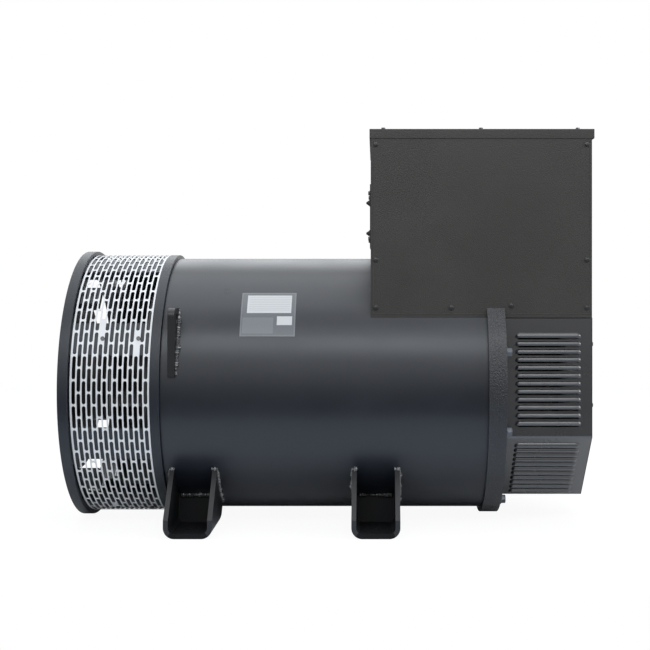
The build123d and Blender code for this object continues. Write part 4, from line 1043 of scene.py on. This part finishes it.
def white_ground():
    """Plain white floor that shows the shadow faintly: its own emission fills most of
    what the camera and reflections see, and plain diffuse answers the lamps."""
    finish = bpy.data.materials.new("white_ground")
    finish.use_nodes = True
    tree = finish.node_tree
    make, link = tree.nodes.new, tree.links.new
    out = tree.nodes["Material Output"]
    tree.nodes.remove(tree.nodes["Principled BSDF"])
    paper, glow, sweep = (
        make("ShaderNodeBsdfDiffuse"), make("ShaderNodeEmission"), make("ShaderNodeMixShader")
    )
    paper.inputs["Color"].default_value = (0.9, 0.9, 0.9, 1)
    cool = make("ShaderNodeMix")
    cool.data_type = "RGBA"
    cool.inputs["A"].default_value = (1, 1, 1, 1)
    cool.inputs["B"].default_value = (0.76, 0.86, 1, 1)
    link(cool.outputs["Result"], glow.inputs["Color"])
    glow.inputs["Strength"].default_value = 1.06
    path = make("ShaderNodeLightPath")
    shown, mirrored = make("ShaderNodeMath"), make("ShaderNodeMath")
    shown.operation, mirrored.operation = "MULTIPLY", "MULTIPLY_ADD"
    place, parts, open_floor = (
        make("ShaderNodeTexCoord"), make("ShaderNodeSeparateXYZ"), make("ShaderNodeMapRange")
    )
    link(place.outputs["Object"], parts.inputs[0])
    link(parts.outputs["Y"], open_floor.inputs["Value"])
    open_floor.inputs["From Min"].default_value = -0.26
    open_floor.inputs["From Max"].default_value = -0.44
    open_floor.inputs["To Max"].default_value = 0.95
    link(path.outputs["Is Camera Ray"], shown.inputs[0])
    shown.inputs[1].default_value = 0.88
    link(path.outputs["Is Glossy Ray"], mirrored.inputs[0])
    link(path.outputs["Is Glossy Ray"], cool.inputs["Factor"])
    link(open_floor.outputs["Result"], mirrored.inputs[1])
    link(shown.outputs[0], mirrored.inputs[2])
    link(mirrored.outputs[0], sweep.inputs["Fac"])
    link(paper.outputs[0], sweep.inputs[1])
    link(glow.outputs[0], sweep.inputs[2])
    link(sweep.outputs[0], out.inputs["Surface"])
    return finish


floor_mesh = bpy.data.meshes.new("floor")
floor_mesh.from_pydata(
    [(-3, -0.9, -0.3552), (4, -0.9, -0.3552), (4, 4, -0.3552), (-3, 4, -0.3552)],
    [],
    [(0, 1, 2, 3)],
)
floor_mesh.materials.append(white_ground())
floor = bpy.data.objects.new("floor", floor_mesh)
bpy.context.scene.collection.objects.link(floor)

world = bpy.data.worlds.new("studio")
bpy.context.scene.world = world
world.use_nodes = True
sky = world.node_tree
ambient = sky.nodes["Background"]
ambient.inputs["Color"].default_value = (0.80, 0.83, 0.88, 1)
ambient.inputs["Strength"].default_value = 0.55
backdrop, mixer = sky.nodes.new("ShaderNodeBackground"), sky.nodes.new("ShaderNodeMixShader")
way, parts = sky.nodes.new("ShaderNodeTexCoord"), sky.nodes.new("ShaderNodeSeparateXYZ")
sky.links.new(way.outputs["Generated"], parts.inputs[0])
slopes = []
for axis, low, high in (("Y", -0.05, -0.45), ("Z", 0.24, -0.12)):
    slope = sky.nodes.new("ShaderNodeMapRange")
    slope.inputs["From Min"].default_value = low
    slope.inputs["From Max"].default_value = high
    sky.links.new(parts.outputs[axis], slope.inputs["Value"])
    slopes.append(slope.outputs["Result"])
room, dim = sky.nodes.new("ShaderNodeMath"), sky.nodes.new("ShaderNodeMath")
room.operation = dim.operation = "MULTIPLY"
sky.links.new(slopes[0], room.inputs[0])
sky.links.new(slopes[1], room.inputs[1])
tint = sky.nodes.new("ShaderNodeMix")
tint.data_type = "RGBA"
tint.inputs["A"].default_value = (1, 1, 1, 1)
tint.inputs["B"].default_value = (0.16, 0.16, 0.165, 1)
sky.links.new(dim.outputs[0], tint.inputs["Factor"])
sky.links.new(tint.outputs["Result"], backdrop.inputs["Color"])
path = sky.nodes.new("ShaderNodeLightPath")
seen, also = sky.nodes.new("ShaderNodeMath"), sky.nodes.new("ShaderNodeMath")
seen.operation = also.operation = "MAXIMUM"
sky.links.new(path.outputs["Is Camera Ray"], seen.inputs[0])
sky.links.new(path.outputs["Is Glossy Ray"], seen.inputs[1])
sky.links.new(path.outputs["Is Glossy Ray"], dim.inputs[0])
sky.links.new(room.outputs[0], dim.inputs[1])
sky.links.new(seen.outputs[0], also.inputs[0])
sky.links.new(path.outputs["Is Transmission Ray"], also.inputs[1])
sky.links.new(also.outputs[0], mixer.inputs["Fac"])
sky.links.new(ambient.outputs[0], mixer.inputs[1])
sky.links.new(backdrop.outputs[0], mixer.inputs[2])
sky.links.new(mixer.outputs[0], sky.nodes["World Output"].inputs["Surface"])

for name, place, target, size, power in (
    ("top_light", (0.6, 0.1, 3.2), (0.6, 0, 0), (3.4, 2.8), 44),
    ("front_light", (0.6, -2.7, 2.1), (0.6, 0, 0), (3.4, 0.8), 32),
    ("back_light", (0.6, 2.7, 2.2), (0.6, 0, 0.2), (3.6, 1.8), 28),
    ("right_light", (3.4, -0.9, 1.3), (0.7, 0, 0), (0.9, 1.2), 22),
):
    lamp = bpy.data.lights.new(name, "AREA")
    lamp.shape = "RECTANGLE"
    lamp.size, lamp.size_y = size
    lamp.energy = power
    lamp.color = (0.90, 0.95, 1.0)
    holder = bpy.data.objects.new(name, lamp)
    holder.location = place
    aim = np.array(target) - np.array(place)
    yaw = math.atan2(aim[1], aim[0])
    pitch = math.acos(-aim[2] / np.linalg.norm(aim))
    holder.rotation_euler = (pitch, 0, yaw - math.pi / 2)
    holder.visible_camera = False
    bpy.context.scene.collection.objects.link(holder)

view = bpy.data.cameras.new("view")
view.lens = 68.1
view.sensor_width = 36
view.shift_x, view.shift_y = -0.077, -0.067
camera = bpy.data.objects.new("view", view)
camera.location = (0.781, -3.37, 0.274)
camera.rotation_euler = (math.pi / 2, 0, 0)
bpy.context.scene.collection.objects.link(camera)
bpy.context.scene.camera = camera
bpy.context.scene.view_settings.view_transform = "Standard"
